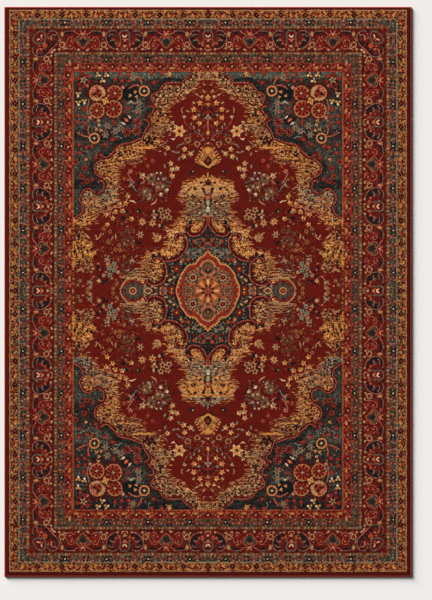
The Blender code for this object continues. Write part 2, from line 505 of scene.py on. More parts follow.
def pomegranate(pen):
    """A scalloped round cartouche with a pale horseshoe in it, centred on s = 0."""
    rim = [
        (3.9, 1.7), (6.2, 1.9), (8.6, 3.0), (10.3, 5.2), (11.3, 7.7), (11.1, 10.2), (9.6, 12.2),
        (7.2, 13.0), (4.9, 12.4),
    ]
    inner = [
        (4.4, 2.9), (6.4, 3.2), (8.2, 4.4), (9.4, 6.0), (10.3, 7.9), (10.0, 9.9), (8.8, 11.3), (7.0, 11.9),
        (5.6, 11.7),
    ]
    for side in both_sides(pen):
        side.line(inner, 1.2, "navy", tip=0.4)
        side.marks(
            (5.0, 2.9, 80, 2.3, 1.6, "navy"), (7.2, 3.6, 100, 2.8, 1.7, "navy"),
            (9.0, 5.3, 130, 3.0, 1.8, "navy"), (10.3, 7.8, 160, 3.0, 1.7, "navy"),
            (9.9, 10.3, 195, 3.0, 1.6, "navy"), (7.9, 12.0, 235, 2.6, 1.4, "navy"),
        )
        side.line(rim, 0.25, "sage")
        side.line(rim[2:5], 0.25, "salmon")
        side.line([(8.6, 8.9), (7.6, 9.4), (6.2, 9.0)], 0.6, "slate", tip=0.3)
        side.line([(9.8, 9.6), (8.2, 10.6), (6.7, 10.4)], 0.35, "salmon")
        side.line([(9.1, 6.3), (7.3, 7.3), (5.9, 6.9)], 0.5, "sage", tip=0.4)
        side.line([(8.6, 7.0), (7.2, 8.2), (5.6, 8.0)], 0.45, "brick")
        side.marks(
            (5.2, 5.2, 0.8, "rust"), (4.4, 9.7, 0.65, "slate"), (3.5, 12.9, 0.75, "navy"),
            (4.4, 1.7, 0.6, "tan"), (2.6, 3.4, 60, 2.4, 1.2, "rust"),
        )
    shoe = [(2.3, 5.0), (2.9, 6.7), (2.5, 8.3), (2.9, 10.4), (2.3, 12.2), (1.1, 13.0), (0, 12.7)]
    whole = shoe + [(-s, t) for s, t in reversed(shoe[:-1])]
    pen.area(whole, "red")
    pen.line(whole, 0.8, "slate")
    pen.line(whole, 0.25, "sage")
    pen.at(0, 10.2, 60).leaf(2.2, 1.0, "maroon")
    for side in both_sides(pen):
        side.marks((0, 8.6, 52, 2.4, 0.8, "cream"), (0.4, 7.4, 20, 1.6, 0.5, "salmon"))
        side.at(0.4, 1.0, 60).line([(0, 0), (1.0, -0.9), (1.9, -0.2)], 0.4, "tan")
    pen.marks((0, 6.9, 0.75, "salmon"), (0, 5.2, 0.7, "navy"), (0, 3.6, 0.9, 0.7, "tan"))


def heart(pen):
    """A heart with its scrolls, centred on s = 0."""
    lobe = [(0, 2.3), (2.0, 4.0), (3.9, 5.9), (4.2, 7.7), (3.1, 9.3), (1.5, 9.6), (0, 8.6)]
    whole = lobe + [(-s, t) for s, t in reversed(lobe[1:-1])]
    for side in both_sides(pen):
        side.line([(12.3, 9.4), (11.0, 10.9), (8.9, 11.8), (5.9, 11.9)], 1.3, "navy", tip=0.3)
        side.beads([(12.3, 9.4), (11.0, 10.9), (8.9, 11.8), (5.9, 11.9)], 1.5, 0.4, "red", shift=0.75)
        side.at(9.0, 11.2, 200).leaf(2.0, 1.0, "navy")
        side.line([(13.2, 9.7), (11.8, 11.6), (9.3, 12.6), (5.6, 12.7)], 0.25, "sage")
        side.line([(5.3, 12.4), (3.9, 11.4), (2.4, 10.6), (1.0, 11.0), (0, 10.3)], 0.35, "salmon", tip=0.5)
        side.line([(4.9, 10.5), (3.4, 10.0), (2.2, 10.4)], 0.9, "navy", tip=0.3)
        side.line([(9.9, 1.9), (10.3, 4.2), (9.6, 6.8), (7.9, 9.0), (5.9, 8.6), (5.6, 6.9)], 0.25, "salmon")
        side.line([(8.6, 2.2), (8.9, 4.3), (7.8, 5.9), (6.4, 5.2), (6.6, 3.6)], 0.42, "brick")
        side.line([(5.2, 3.2), (6.6, 2.0), (8.1, 1.6)], 0.4, "salmon", tip=0.4)
        side.marks(
            (7.2, 6.9, 0.55, "ochre"), (8.3, 8.2, 30, 1.9, 0.9, "brick"), (7.6, 3.6, 0.5, "salmon"),
            (11.2, 7.6, 0.6, "slate"), (10.6, 2.0, 0.6, "maroon"),
        )
        side.at(2.8, 1.3, 30).oval(0.9, 0.6, "tan")
        side.at(0.3, 11.0, 55).leaf(2.4, 0.6, "salmon")
    pen.area(whole, "slate")
    pen.line(whole, 0.5, "rust", closed=True)
    for side in both_sides(pen):
        side.marks(
            (0.9, 4.9, 30, 2.8, 1.1, "sage"), (1.4, 6.6, 50, 2.2, 0.9, "teal"),
            (0.4, 4.2, 62, 3.8, 1.0, "maroon"), (1.5, 4.6, 58, 3.6, 1.0, "brown"),
            (0.2, 8.6, -20, 2.0, 0.7, "rust"),
        )
    pen.marks((0, 5.0, 90, 3.6, 1.1, "navy"), (0, 9.7, 90, 1.9, 1.0, "tan"))


def corner_cartouche(pen):
    """The cartouche that turns the main border's corner. Its places are mirrored over the diagonal."""
    sweep = [
        (2.2, 1.1), (0.2, 2.8), (-1.9, 5.0), (-3.0, 7.6), (-2.8, 10.2), (-1.4, 12.1), (0.9, 12.9),
        (3.0, 12.2),
    ]
    belly = [(3.0, 1.9), (1.1, 3.7), (-0.8, 5.4), (-1.9, 7.6), (-1.8, 9.8), (-0.6, 11.3), (1.0, 11.9)]
    lobe = [
        (5.9, 5.6), (5.3, 7.5), (5.1, 9.7), (5.8, 11.8), (7.3, 12.8), (8.8, 12.1), (9.8, 11.9),
        (10.7, 10.9),
    ]
    pens = (pen, pen.at(0, 0, 90, flip=True))
    for side in pens:
        side.line(belly, 1.3, "navy", tip=0.5)
        side.beads(belly, 1.5, 0.4, "red", shift=-0.75)
        side.marks(
            (0.4, 4.6, 70, 3.4, 1.6, "navy"), (2.1, 3.4, 60, 3.2, 1.5, "navy"),
            (1.2, 6.6, 70, 2.4, 0.8, "salmon"),
        )
        side.line(sweep, 0.25, "sage")
        side.line(sweep[:3], 0.25, "salmon")
        side.line([(-2.0, 8.3), (-0.2, 8.9), (1.2, 7.9)], 0.6, "slate", tip=0.3)
        side.line([(-1.7, 7.2), (0.0, 7.7), (1.2, 6.8)], 0.45, "brick")
        side.line([(-1.5, 10.2), (0.4, 10.4), (1.9, 9.2)], 0.4, "salmon")
        side.marks(
            (3.4, 9.8, 0.8, "slate"), (3.6, 12.9, 0.8, "navy"), (3.2, 7.6, 70, 2.2, 1.0, "rust"),
            (1.6, -1.3, 110, 2.4, 1.3, "tan"),
        )
    whole = lobe + [(t, s) for s, t in reversed(lobe)]
    pen.area(whole, "red")
    pen.line(whole, 0.9, "slate", closed=True)
    pen.line(whole, 0.25, "sage", closed=True)
    for side in pens:
        side.marks(
            (8.0, 8.4, 112, 2.4, 0.7, "cream"), (7.2, 7.4, 100, 1.8, 0.6, "salmon"),
            (7.0, 9.0, 0.5, "maroon"),
        )
    pen.marks((5.4, 3.9, 1.5, "rust"), (5.4, 3.9, 0.6, "brick"), (8.7, 9.2, 0.7, "maroon"))


# The nested bands from the rim inwards: half the rug's width and length at each one's outer edge.
BANDS = {
    "margin": (123.3, 173.2, "wine"),
    "outer_line": (120.4, 169.8, "tan"),
    "gold_guard": (119.75, 169.3, "wine"),
    "sage_line": (114.7, 164.5, "sage"),
    "outer_rosettes": (114.1, 163.8, "slate"),
    "outer_dots": (110.35, 160.4, "wine"),
    "main_edge": (108.0, 158.5, "wine"),
    "main_border": (107.2, 157.8, "red"),
    "main_inner_edge": (94.5, 145.3, "wine"),
    "inner_dots": (93.4, 144.5, "wine"),
    "inner_rosettes": (91.4, 142.7, "slate"),
    "brick_line": (87.0, 138.0, "brick"),
    "red_guard": (86.5, 137.4, "red"),
    "pink_line": (82.1, 133.0, "rust"),
    "dark_line": (81.5, 132.5, "slate"),
    "field": (80.7, 132.0, GROUND),
}
# The small leaves on a band's ground: how far apart, how long and how wide each yarn's are.
BAND_LEAVES = {
    "gold_guard": (
        ("ochre", 0.95, 1.5, 0.95), ("gold", 2.3, 1.4, 0.8), ("maroon", 1.7, 1.4, 0.8),
        ("brick", 2.1, 1.4, 0.8), ("slate", 2.1, 1.0, 0.7), ("tan", 2.5, 1.1, 0.6),
    ),
    "outer_rosettes": (
        ("teal", 1.4, 1.6, 0.9), ("wine", 1.5, 1.5, 0.8), ("sage", 2.0, 1.2, 0.7), ("brick", 2.3, 1.2, 0.7),
        ("brown", 1.7, 1.2, 0.7), ("ochre", 2.2, 1.2, 0.7), ("salmon", 3.1, 1.0, 0.6),
    ),
    "outer_dots": (("brown", 0.9, 1.2, 0.8), ("rust", 2.1, 1.1, 0.6)),
    "main_border": (
        ("wine", 1.5, 1.8, 0.8), ("brick", 2.3, 1.6, 0.6), ("salmon", 3.9, 1.2, 0.45),
        ("maroon", 2.5, 1.5, 0.7), ("sage", 4.3, 1.2, 0.5),
    ),
    "inner_dots": (("brown", 0.9, 1.2, 0.8), ("slate", 2.6, 1.0, 0.6)),
    "inner_rosettes": (
        ("brown", 1.3, 1.6, 0.9), ("wine", 1.5, 1.4, 0.8), ("brick", 1.8, 1.2, 0.7),
        ("teal", 2.1, 1.3, 0.7), ("ochre", 2.3, 1.2, 0.7), ("salmon", 3.3, 1.0, 0.6),
    ),
    "red_guard": (
        ("brick", 1.4, 1.5, 0.8), ("rust", 2.3, 1.3, 0.7), ("maroon", 1.9, 1.3, 0.7),
        ("slate", 2.7, 1.0, 0.6), ("ochre", 2.3, 1.2, 0.7), ("brown", 2.2, 1.2, 0.7),
        ("salmon", 3.3, 1.2, 0.6),
    ),
}


def scatter_leaves(pen, outer, inner, ground, leaves):
    """A band's small leaves, along the top and then down the side."""
    for seed, (yarn, spacing, length, width) in enumerate(leaves):
        mark = fleck(yarn, length, width)
        sprinkle(pen, ground, (0, inner[1]), outer, spacing, mark, seed)
        sprinkle(pen, ground, (inner[0], 0), (outer[0], inner[1]), spacing, mark, seed + 7)


# Half a cartouche's length and the gold guard's period, along the top and down the side.
TOP_PERIODS = (12.62, 14.75)
SIDE_PERIODS = (12.75, 14.15)
RED_PERIOD = 14.5
# The side's motifs stop this much short of their bands' ends.
SIDE_SHORTENING = 1.6


def draw_run(pen, edge, length, half, guard):
    """The motifs of all the bands on one run. edge and length have each band's outer edge and its length."""
    gold_guard(pen.at(0, edge["sage_line"]), length["sage_line"], guard)
    for below, ground in (("outer_dots", "teal"), ("brick_line", "brown")):
        rosette_guard(pen.at(half, edge[below]), length[below] - half, 2 * half, ground)
    for band, below in (("outer_dots", "main_edge"), ("inner_dots", "inner_rosettes")):
        dotted_stripe(pen.at(0, edge[below]), length[band], edge[band] - edge[below])
    red_guard(pen.at(0, edge["pink_line"]), length["pink_line"], RED_PERIOD)
    foot = edge["inner_dots"]
    units = range(int(length["main_border"] / (2 * half)))
    for index in units:
        (heart if index % 2 else pomegranate)(pen.at(2 * half * index, foot))
    for index in units:
        joint(pen.at(half * (2 * index + 1), foot))


def draw_border(pen):
    """The nested bands, and what is on each one along the top and the side."""
    for across, along, yarn in BANDS.values():
        pen.box(-1, -1, across, along, yarn)
    names = list(BANDS)
    for name, leaves in BAND_LEAVES.items():
        inner = BANDS[names[names.index(name) + 1]]
        scatter_leaves(pen, BANDS[name][:2], inner[:2], BANDS[name][2], leaves)
    across = {name: band[0] for name, band in BANDS.items()}
    along = {name: band[1] for name, band in BANDS.items()}
    shortened = {name: reach - SIDE_SHORTENING for name, reach in along.items()}
    draw_run(pen, along, across, *TOP_PERIODS)
    draw_run(pen.at(0, 0, 90, flip=True), across, shortened, *SIDE_PERIODS)
    corner_cartouche(pen.at(across["inner_dots"], along["inner_dots"]))
    low, high = (BANDS["sage_line"][0], 0), BANDS["gold_guard"][:2]
    sprinkle(pen, "gold", low, high, 1.2, fleck("brown", 1.3, 0.8), 9)
    sprinkle(pen, "ochre", low, high, 1.6, fleck("slate", 1.3, 0.8), 10)


# ---------------------------------------------------------------------------------------------
# The field: the corner pieces, the gold band inside them, the red ground and its flowers
# ---------------------------------------------------------------------------------------------


def ring_flower(pen):
    """A gold ring round a dark heart."""
    pen.lobes(3.4, 12, "gold", depth=0.1)
    pen.spokes(2.6, 3.4, 12, "tan", share=0.3)
    pen.ring(2.2, 2.6, "rust")
    pen.disc(2.2, "navy")
    pen.star(1.4, 4, "sage", depth=0.6)
    pen.disc(0.5, "cream")


def round_palmette(pen, radius, rim, petals, heart):
    """A round flower with radial petals inside a pale rim."""
    pen.lobes(radius + 1.7, 14, "wine", depth=0.16)
    pen.lobes(radius, 16, rim, depth=0.1)
    pen.ring(radius - 1.0, radius - 0.6, "rust")
    pen.disc(radius - 0.8, "brick")
    pen.spokes(1.2, radius - 0.8, 9, "maroon", share=0.3)
    pen.spokes(radius - 1.9, radius - 0.8, 9, petals, share=0.2, turn=20)
    pen.disc(1.5, "maroon")
    pen.star(1.2, 4, heart, depth=0.5)


def quatrefoil(pen):
    """The four round flowers that fill the corner piece."""
    blooms = ((56.5, 119.5, 4.8), (67.0, 119.5, 5.0), (57.3, 110.0, 5.3), (67.3, 109.0, 4.7))
    for x, y, radius in blooms:
        pen.at(x, y).lobes(radius + 1.8, 14, "wine", depth=0.18)
    for x, y, radius in blooms:
        round_palmette(pen.at(x, y), radius, "tan", "ochre", "tan")
    face = pen.at(67.0, 119.5)
    face.disc(4.1, "brick")
    face.spokes(1.6, 3.9, 7, "ochre", share=0.3, turn=-90)
    face.line([(-1.0, 3.6), (-3.2, 1.8), (-3.5, -0.6), (-2.4, -2.9), (0, -3.7), (2.4, -3.0)], 1.3, "tan")
    for x, y, length, turn in (
        (-1.0, 2.6, 2.6, -60), (0.4, 0.2, 3.0, -30), (2.2, 0.2, 2.6, 80), (-1.6, -0.4, 2.2, -80),
    ):
        face.at(x, y, turn).leaf(length, 1.5, "navy")
    face.at(2.6, 2.2).lobes(1.5, 5, "salmon", depth=0.3)
    face.at(2.6, 2.2).disc(0.5, "wine")
    middle = pen.at(62.2, 114.8)
    middle.disc(3.1, "wine")
    middle.star(2.7, 4, "gold", depth=0.45, turn=20)
    middle.disc(0.9, "maroon")
    middle.disc(0.5, "cream")
    for x, y in ((51.5, 123.0), (71.5, 104.8), (51.0, 104.5), (73.2, 124.0)):
        pen.at(x, y).disc(1.0, "salmon")


SPANDREL_ARCS = [
    [(9.5, 132), (12, 129.5), (14, 128.3), (15, 126.8)],
    [(16, 126), (18, 125.4), (25, 125.6), (27.5, 124.3), (29.3, 121.8)],
    [(29.5, 120.5), (32, 120), (34.2, 118), (34.7, 116), (33, 113.5)],
    [
        (36, 111.5), (34.5, 112.3), (33, 111), (32.5, 109.5), (33.5, 108), (35.3, 106.3), (36.3, 104.8),
        (35.7, 103.3),
    ],
    [(38.5, 103.8), (36.3, 102.8), (35.5, 101), (36, 99.5), (38, 97), (39.3, 94.5), (39.8, 92.5)],
    [
        (41.5, 92), (44, 90.8), (47, 89.7), (50, 88.5), (52.6, 88.4), (55.3, 87.5), (57, 84.5), (59, 82),
        (61.5, 80.8), (64, 81), (65.5, 82.5), (65.7, 84),
    ],
    [(65, 79), (67, 78), (68.3, 76), (68.9, 73.8), (68, 71), (66.3, 69.3), (64, 68.6), (62.5, 69.5)],
    [
        (66.3, 66.5), (65, 67.1), (63.5, 66), (62.8, 63.8), (63.2, 61.3), (64.5, 59.5), (66.5, 59),
        (68.3, 59.5),
    ],
    [
        (69.5, 60), (70.5, 61.3), (72.5, 61.8), (75, 61.2), (76.3, 59.5), (77.3, 57), (77.7, 55), (77, 53),
        (75.5, 51.2), (75.6, 49), (76.8, 47), (79, 45.3), (81, 44),
    ],
]
FIELD_EDGE = [
    (0, 128), (5, 126.5), (7, 124), (10, 121), (15, 118), (20, 117), (22, 115), (24, 112.5), (25.3, 110),
    (25, 104), (25, 99), (26, 96), (29, 95), (30, 92), (30, 89), (31.5, 86.3), (40, 85.5), (41, 82.5),
    (42, 80), (44, 79), (48, 78.5), (51, 78), (53, 76), (55, 74), (56.5, 72), (54, 69), (57, 67),
    (54.5, 64.5), (54.5, 60), (55, 57), (55.5, 53.5), (58, 52), (60, 51), (66, 49.5), (69, 46.5),
    (69.5, 42.5), (73, 39), (81, 40),
]


def corner_ground(pen):
    """Leaves and small flowers all over the corner piece's ground."""
    low, high = (9, 42), (80.5, 131.5)
    strew(pen, GROUND, low, high,
        (2.5, fleck, "wine", 1.9, 0.9, 1), (2.3, fleck, "slate", 2.0, 0.9, 2),
        (4.3, fleck, "brick", 1.5, 0.8, 3), (4.7, fleck, "sage", 1.3, 0.6, 4),
        (2.3, fleck, "navy", 1.7, 0.9, 5),
    )
    for arc in SPANDREL_ARCS[1:7]:
        pen.line(arc, 3.6, "navy", shift=1.6, tip=0.5)
    strew(pen, "navy", low, high, (1.3, fleck, "slate", 1.9, 0.9, 6), (2.6, fleck, "wine", 1.7, 0.9, 7))


def corner_flowers(pen):
    """The corner piece's flowers, outwards from its four round ones."""
    red = [
        (33, 126), (48, 127), (52.3, 127), (48, 131), (53, 131), (28, 131.5), (34, 131.5), (74.7, 105.3),
        (79, 105.8), (74.7, 101.3), (79, 102), (73.7, 86.7), (78.3, 88.3), (78, 83.5), (77.5, 122),
        (70.5, 87.5), (58, 91.5), (62.5, 88.5), (73.5, 110.5), (43.5, 108),
    ]
    bed(pen, red, blossom, 1.4, "brick", "rust")
    orange = [
        (44.2, 120.3), (43.3, 117.3), (47.2, 118), (66, 100.3), (65, 97), (67.7, 97.5), (74, 79.5),
        (66.5, 103),
    ]
    pen.at(46.8, 119.3).oval(5.2, 4.8, "navy")
    bed(pen, orange, blossom, 1.05, "gold", "navy", count=3)
    pale = [(42, 113.5), (42, 109.2), (61, 99.7), (56, 96.5), (62, 94.5), (53, 98.5), (45.5, 129.0)]
    for x, y in pale:
        pen.at(x, y).disc(1.5, "wine")
        pen.at(x, y).spokes(0.5, 2.3, 6, "sage", share=0.3)
        pen.at(x, y, 30).spokes(0.4, 1.4, 6, "tan", share=0.25)
    for x, y, radius in ((42.5, 102.3, 2.7), (43.3, 96.7, 2.8), (49.0, 96.0, 2.6)):
        rosette = pen.at(x, y)
        rosette.lobes(radius, 9, "wine", depth=0.2)
        rosette.spokes(1.0, radius + 0.2, 9, "salmon", share=0.16)
        rosette.spokes(0.6, radius - 0.6, 7, "brick", share=0.3, turn=15)
        rosette.disc(0.6, "maroon")
    for x, y in ((64.0, 129.4), (77.5, 115.8)):
        for place in ((-2.4, 1.2), (2.7, 1.3), (0.0, -2.2)) if y > 120 else (
            (1.2, 3.2), (-2.5, -1.1), (1.2, -2.0),
        ):
            flower = pen.at(x + place[0], y + place[1])
            flower.disc(2.1, "navy")
            for angle in (0, 120, 240):
                flower.at(0, 0, angle + 5 * x).at(1.05, 0).oval(
                    0.8, 0.65, ("gold", "tan", "cream")[angle // 120],
                )
    bud = pen.at(49.5, 103.3, 40)
    bud.oval(3.6, 2.7, "navy")
    bud.marks(
        (-2.0, 0, 0, 4.2, 2.2, "brick"), (-1.2, 0, 0, 2.4, 1.1, "gold"),
        (-1.7, 2.4, 10, 2.8, 1.0, "cream"), (-1.5, -2.4, -10, 3.2, 1.0, "cream"),
    )
    fan = pen.at(46.7, 112.6, 90)
    for lean in (-60, -30, 0, 30, 60):
        fan.at(0, 0, lean).leaf(2.7, 0.9, "sage" if lean else "cream")
    fan.at(0.4, 0).disc(0.8, "wine")
    for x, y, turn in (
        (56.5, 126.4, 90), (47, 109.5, 20), (57, 100.2, 90), (74.5, 108.3, 60), (69.5, 81, 200),
        (70, 66, 90),
    ):
        pen.at(x, y, turn).leaf(3.2, 1.9, "brick")
    corner = pen.at(75.5, 127.5)
    for index, angle in enumerate(range(0, 360, 60)):
        spot = corner.at(0, 0, angle + 15).at(3.4, 0)
        eye(spot, 1.6, ("brick", "red")[index % 2], "brick")
        corner.at(0, 0, angle + 45).at(2.6, 0).disc(0.9, "navy")
    corner.star(2.6, 5, "tan", depth=0.7, turn=30)
    corner.disc(0.7, "maroon")
    bed(pen, [(76.5, 69), (80, 78), (75, 74), (73.5, 66.3)], eye, 1.7, "brick", "navy")
    bed(pen, [(23.5, 131)], blossom, 1.7, "gold", "navy")
    for x, y in ((38.7, 120.9), (68.8, 92.3)):
        pen.at(x, y).disc(3.9, "navy")
        ring_flower(pen.at(x, y))
    for stem in (
        [(40, 125), (41, 128), (43, 130.7)],
        [(41, 123.9), (44, 124.4), (48.3, 122.3)],
        [(72, 94.5), (72.8, 97.5), (71.8, 100)],
        [(72.4, 93.2), (75.5, 93.8), (79.5, 95.8)],
    ):
        pen.line(stem, 1.1, "brick", tip=0.5)
        pen.line(stem, 0.25, "tan", tip=0.5)
    for stem in (
        [(35.5, 128), (36.2, 130), (35.6, 131.6)], [(72, 116), (73, 111), (72.5, 106)],
        [(52, 92), (54.5, 93.3), (56.5, 92.8)],
    ):
        pen.line(stem, 0.4, "sage")


def gold_band(pen):
    """The gold cloud band between the corner pieces and the red ground, and its pink outline."""
    outline = [(-1, 132.3), (9.3, 132.3)]
    for arc in SPANDREL_ARCS:
        outline += arc
    pen.area(outline + [(82, 44), (82, -1), (-1, -1)], GILT, smooth=False)
    low, high = (0, 36), (80.5, 132)
    strew(pen, GILT, low, high,
        (1.7, dash, "brown", 1.8, 0.5, 11), (1.6, fleck, "wine", 1.6, 0.85, 12),
        (2.3, dash, "wine", 1.9, 0.5, 13), (2.6, fleck, "maroon", 1.4, 0.9, 14),
        (2.2, dash, "tan", 1.3, 0.5, 15), (2.7, fleck, "navy", 1.4, 0.8, 16),
        (2.9, fleck, "brick", 1.6, 0.8, 14), (2.7, fleck, "cream", 1.1, 0.5, 18),
    )
    for arc in SPANDREL_ARCS:
        pen.line(arc, 1.0, "wine", shift=-0.7)
        pen.line(arc, 0.7, "maroon", shift=0.5)
        pen.line(arc, 0.4, "brick")
        pen.line(arc[::2] if len(arc) > 4 else arc, 0.2, "salmon", shift=0.1)
    pen.line([(31.5, 86.8), (38, 86.4), (46, 86.9)], 1.1, "gold", tip=0.5)
    bed(pen, [(32.5, 92), (34, 89.5), (37, 89.5), (38.5, 91), (35.5, 92.5)], Pen.oval, 1.4, 0.9, "maroon")
    strew(pen, GILT, (24, 92), (33, 101),
        (1.6, dash, "sage", 1.9, 0.5, 10), (2.0, fleck, "teal", 1.6, 0.7, 9),
    )
    eyes = [
        (7.5, 130.5), (9.3, 127.5), (14.5, 122.7), (19.5, 121.7), (23.3, 122.5), (26.8, 112.5), (28.8, 110),
        (28.7, 107.6), (28, 106), (30, 106), (53.2, 84), (52.7, 81.8), (54.0, 82.8), (30.9, 117), (60, 72),
        (62, 75), (27, 118), (61, 60), (45, 84), (36, 91),
    ]
    bed(pen, eyes, Pen.oval, 0.95, 0.65, "navy")
    for x, y in ((30.5, 102.8), (50, 84.3), (63, 77.5), (33, 95.5), (59, 65)):
        pen.marks((x, y, 1.5, "ochre"), (x, y, 1.1, "wine"))
    for x, y, radius in ((68.3, 56.3, 1.8), (72.5, 53.0, 1.9)):
        pen.at(x, y).lobes(radius, 5, "ochre", depth=0.3)
        pen.at(x, y).spokes(0.5, radius - 0.2, 5, "rust", share=0.3)
        pen.at(x, y).disc(0.4, "maroon")
    sprinkle(pen, GILT, (61, 55.6), (76, 58.2), 1.3, dash("teal", 3.6, 0.6), 17)
    sprinkle(pen, GILT, (54, 50), (64, 62), 1.9, dash("sage", 2.2, 0.5), 18)


def red_ground(pen):
    """The red ground, whose edge is combed out in the rows' direction."""
    outline = [(-1, 128), *FIELD_EDGE, (82, 40), (82, -1), (-1, -1)]
    pen.area(outline, FIELD, comb=1.2, smooth=False)
    for index, (x, y) in enumerate(FIELD_EDGE[1:-1]):
        for step in range(4):
            luck = scatter(index, step)
            wisp = pen.at(x - 0.8 + 2.2 * luck, y - 1.8 + 1.1 * step)
            wisp.oval(1.3 + 0.5 * luck, 0.26, ("tan", "ochre", "brown", "gold")[step])
    for low, high in (((21, 54), (53, 73)), ((42, 4), (70, 38)), ((21, 38), (58, 50))):
        strew(pen, FIELD, low, high,
            (3.5, fleck, "brown", 1.7, 0.7, 25), (7.3, fleck, "sage", 1.6, 0.5, 26),
            (6.1, fleck, "salmon", 1.4, 0.45, 27), (3.7, fleck, "maroon", 1.8, 0.9, 28),
            (6.1, fleck, "tan", 1.3, 0.6, 29),
        )
    for low, high in (((0, 98), (10, 124)), ((0, 87), (17, 98))):
        strew(pen, FIELD, low, high,
            (3.7, fleck, "rust", 1.4, 0.45, 19), (3.1, fleck, "brown", 1.6, 0.7, 20),
        )
    sprinkle(pen, FIELD, (58, 44), (72, 56), 2.4, dash("salmon", 1.3, 0.4), 21)
    sprinkle(pen, FIELD, (56, 46), (72, 56), 2.1, dash("tan", 1.4, 0.5), 22)
    sprinkle(pen, FIELD, (37, 77), (56, 83), 2.0, dash("brown", 1.5, 0.5), 23)
    sprinkle(pen, FIELD, (14, 114), (26, 119), 1.9, dash("salmon", 1.6, 0.45), 24)


def axis_spray(pen):
    """The spray of flowers on the middle line, above the medallion."""
    blooms = [(0, 116.9), (5, 113.6), (8.6, 109.7), (8.5, 104.7), (5.2, 101.3)]
    pale = [(3.9, 117.3), (14.5, 105.1), (0, 112.7)]
    for x, y in blooms[:4] + pale:
        pen.line([(0.3, 106.5), (0.5 * x, 0.45 * y + 59.5), (0.8 * x, 0.9 * y + 10.6)], 0.25, "brick")
    for stem in (
        [(1.5, 91.0), (4.7, 94.5), (8.5, 97.0)], [(6, 95.6), (9.5, 96.4), (12.3, 93.6)],
        [(0, 97), (0.2, 104)], [(10.5, 98.1), (12.8, 100.3), (14.2, 102.6)],
    ):
        pen.line(stem, 0.2, ("salmon", "brick")[stem[0][0] == 6])
    bed(pen, blooms, blossom, 1.7, "gold", "brown")
    bed(pen, pale, blossom, 1.2, "tan", "wine", count=3)
    leaves = (
        (2.0, 119.8, 60), (5.4, 118.2, 20), (7.6, 113.2, 25), (10.9, 108.0, 30), (10.4, 99.6, 100),
        (11.9, 97.7, -40), (8.6, 97.6, 90), (7.0, 96.6, -60), (4.9, 95.9, 60), (3.1, 93.4, 100),
        (2.2, 91.6, -20), (9.8, 95.2, -30),
    )
    for index, (x, y, turn) in enumerate(leaves):
        pen.at(x, y, turn).leaf(2.3, 0.9, "tan" if index < 4 else ("sage", "teal")[index % 2])
    bed(
        pen,
        [(1.3, 109.6), (3.1, 108.9), (4.4, 107.3), (4.1, 105.6), (1.5, 106.6), (2.4, 110.6), (9.4, 96.4)],
        Pen.oval, 0.95, 0.6, "navy",
    )
    bed(pen, [(0, 106), (1.2, 104.4), (5.5, 106.3)], Pen.oval, 1.0, 0.7, "sage")
    pen.marks((0, 101.3, 0.5, 1.3, "salmon"), (0, 95.7, 0.9, 1.2, "gold"))
    pen.line([(15.2, 111.0), (16.0, 109.4), (15.4, 107.6)], 0.5, "tan", tip=0.5)
    big = pen.at(17.4, 96.6)
    big.star(4.1, 6, "cream", depth=0.42, turn=60)
    big.star(3.5, 6, "gold", depth=0.45, turn=60)
    big.spokes(0.9, 3.2, 6, "ochre", share=0.12, turn=24)
    big.disc(1.0, "brown")
    big.disc(0.6, "navy")
    bed(pen, [(19.9, 99.5), (21.4, 101.7), (23.5, 99.9), (23.0, 97.6)], blossom, 1.25, "tan", "wine", count=3)
    pen.line([(19.8, 92.4), (21.0, 91.6), (22.4, 92.3)], 0.7, "cream", tip=0.4)
    for x, y in ((12.3, 91.1), (6.6, 88.8)):
        pen.at(x, y).lobes(1.9, 3, "tan", depth=0.3, turn=30)
        pen.at(x, y).lobes(1.4, 3, "wine", depth=0.3, turn=30)
        pen.at(x, y).disc(0.6, "brick")
    pen.at(0, 89.4).star(1.0, 4, "tan", depth=0.4)
    pen.line([(14.8, 89), (17.5, 88.2), (19, 86.3)], 0.6, "sage", tip=0.4)
    pen.line([(24.5, 91), (26.5, 89), (28.5, 88.5)], 0.5, "sage", tip=0.4)


def axis_pendant(pen):
    """The bud that hangs on the middle line between the spray and the medallion."""
    bud = [
        (-0.1, 87.6), (1.2, 86.6), (2.9, 85.2), (3.2, 83.4), (4.2, 82.2), (4.2, 80.8), (5.6, 79.4),
        (5.2, 77.6), (3.6, 75.9), (-0.1, 74.0),
    ]
    pen.area(bud, "gold", smooth=False)
    pen.line(bud[1:-1], 0.5, "ochre", shift=0.4)
    sprinkle(pen, "gold", (0, 75), (7, 88), 1.3, fleck("ochre", 1.4, 0.7), 8)
    sprinkle(pen, "gold", (2.5, 75), (7, 84), 1.9, fleck("maroon", 1.1, 0.6), 7)
    for length, width, yarn in ((6.2, 1.9, "navy"), (5.4, 0.8, "gold")):
        pen.marks((0.2, 78.8, 68, length, width, yarn), (0.2, 78.0, 25, length, 0.8 * width, yarn))
    pen.marks((0, 81.4, -90, 6.0, 4.6, "navy"), (0, 80.2, -90, 3.0, 2.2, "brick"))
    for index, (x, y) in enumerate((
        (4.6, 84.0), (5.6, 82.4), (6.4, 80.8), (7.2, 79.4), (6.6, 77.8), (3.6, 86.2),
    )):
        pen.at(x, y, 30).at(-0.9, 0).leaf(2.0, 0.9, ("tan", "salmon", "gold")[index % 3])
    pen.line([(1.0, 74.2), (2.6, 74.6), (4.8, 75.9)], 1.0, "navy", tip=0.8)


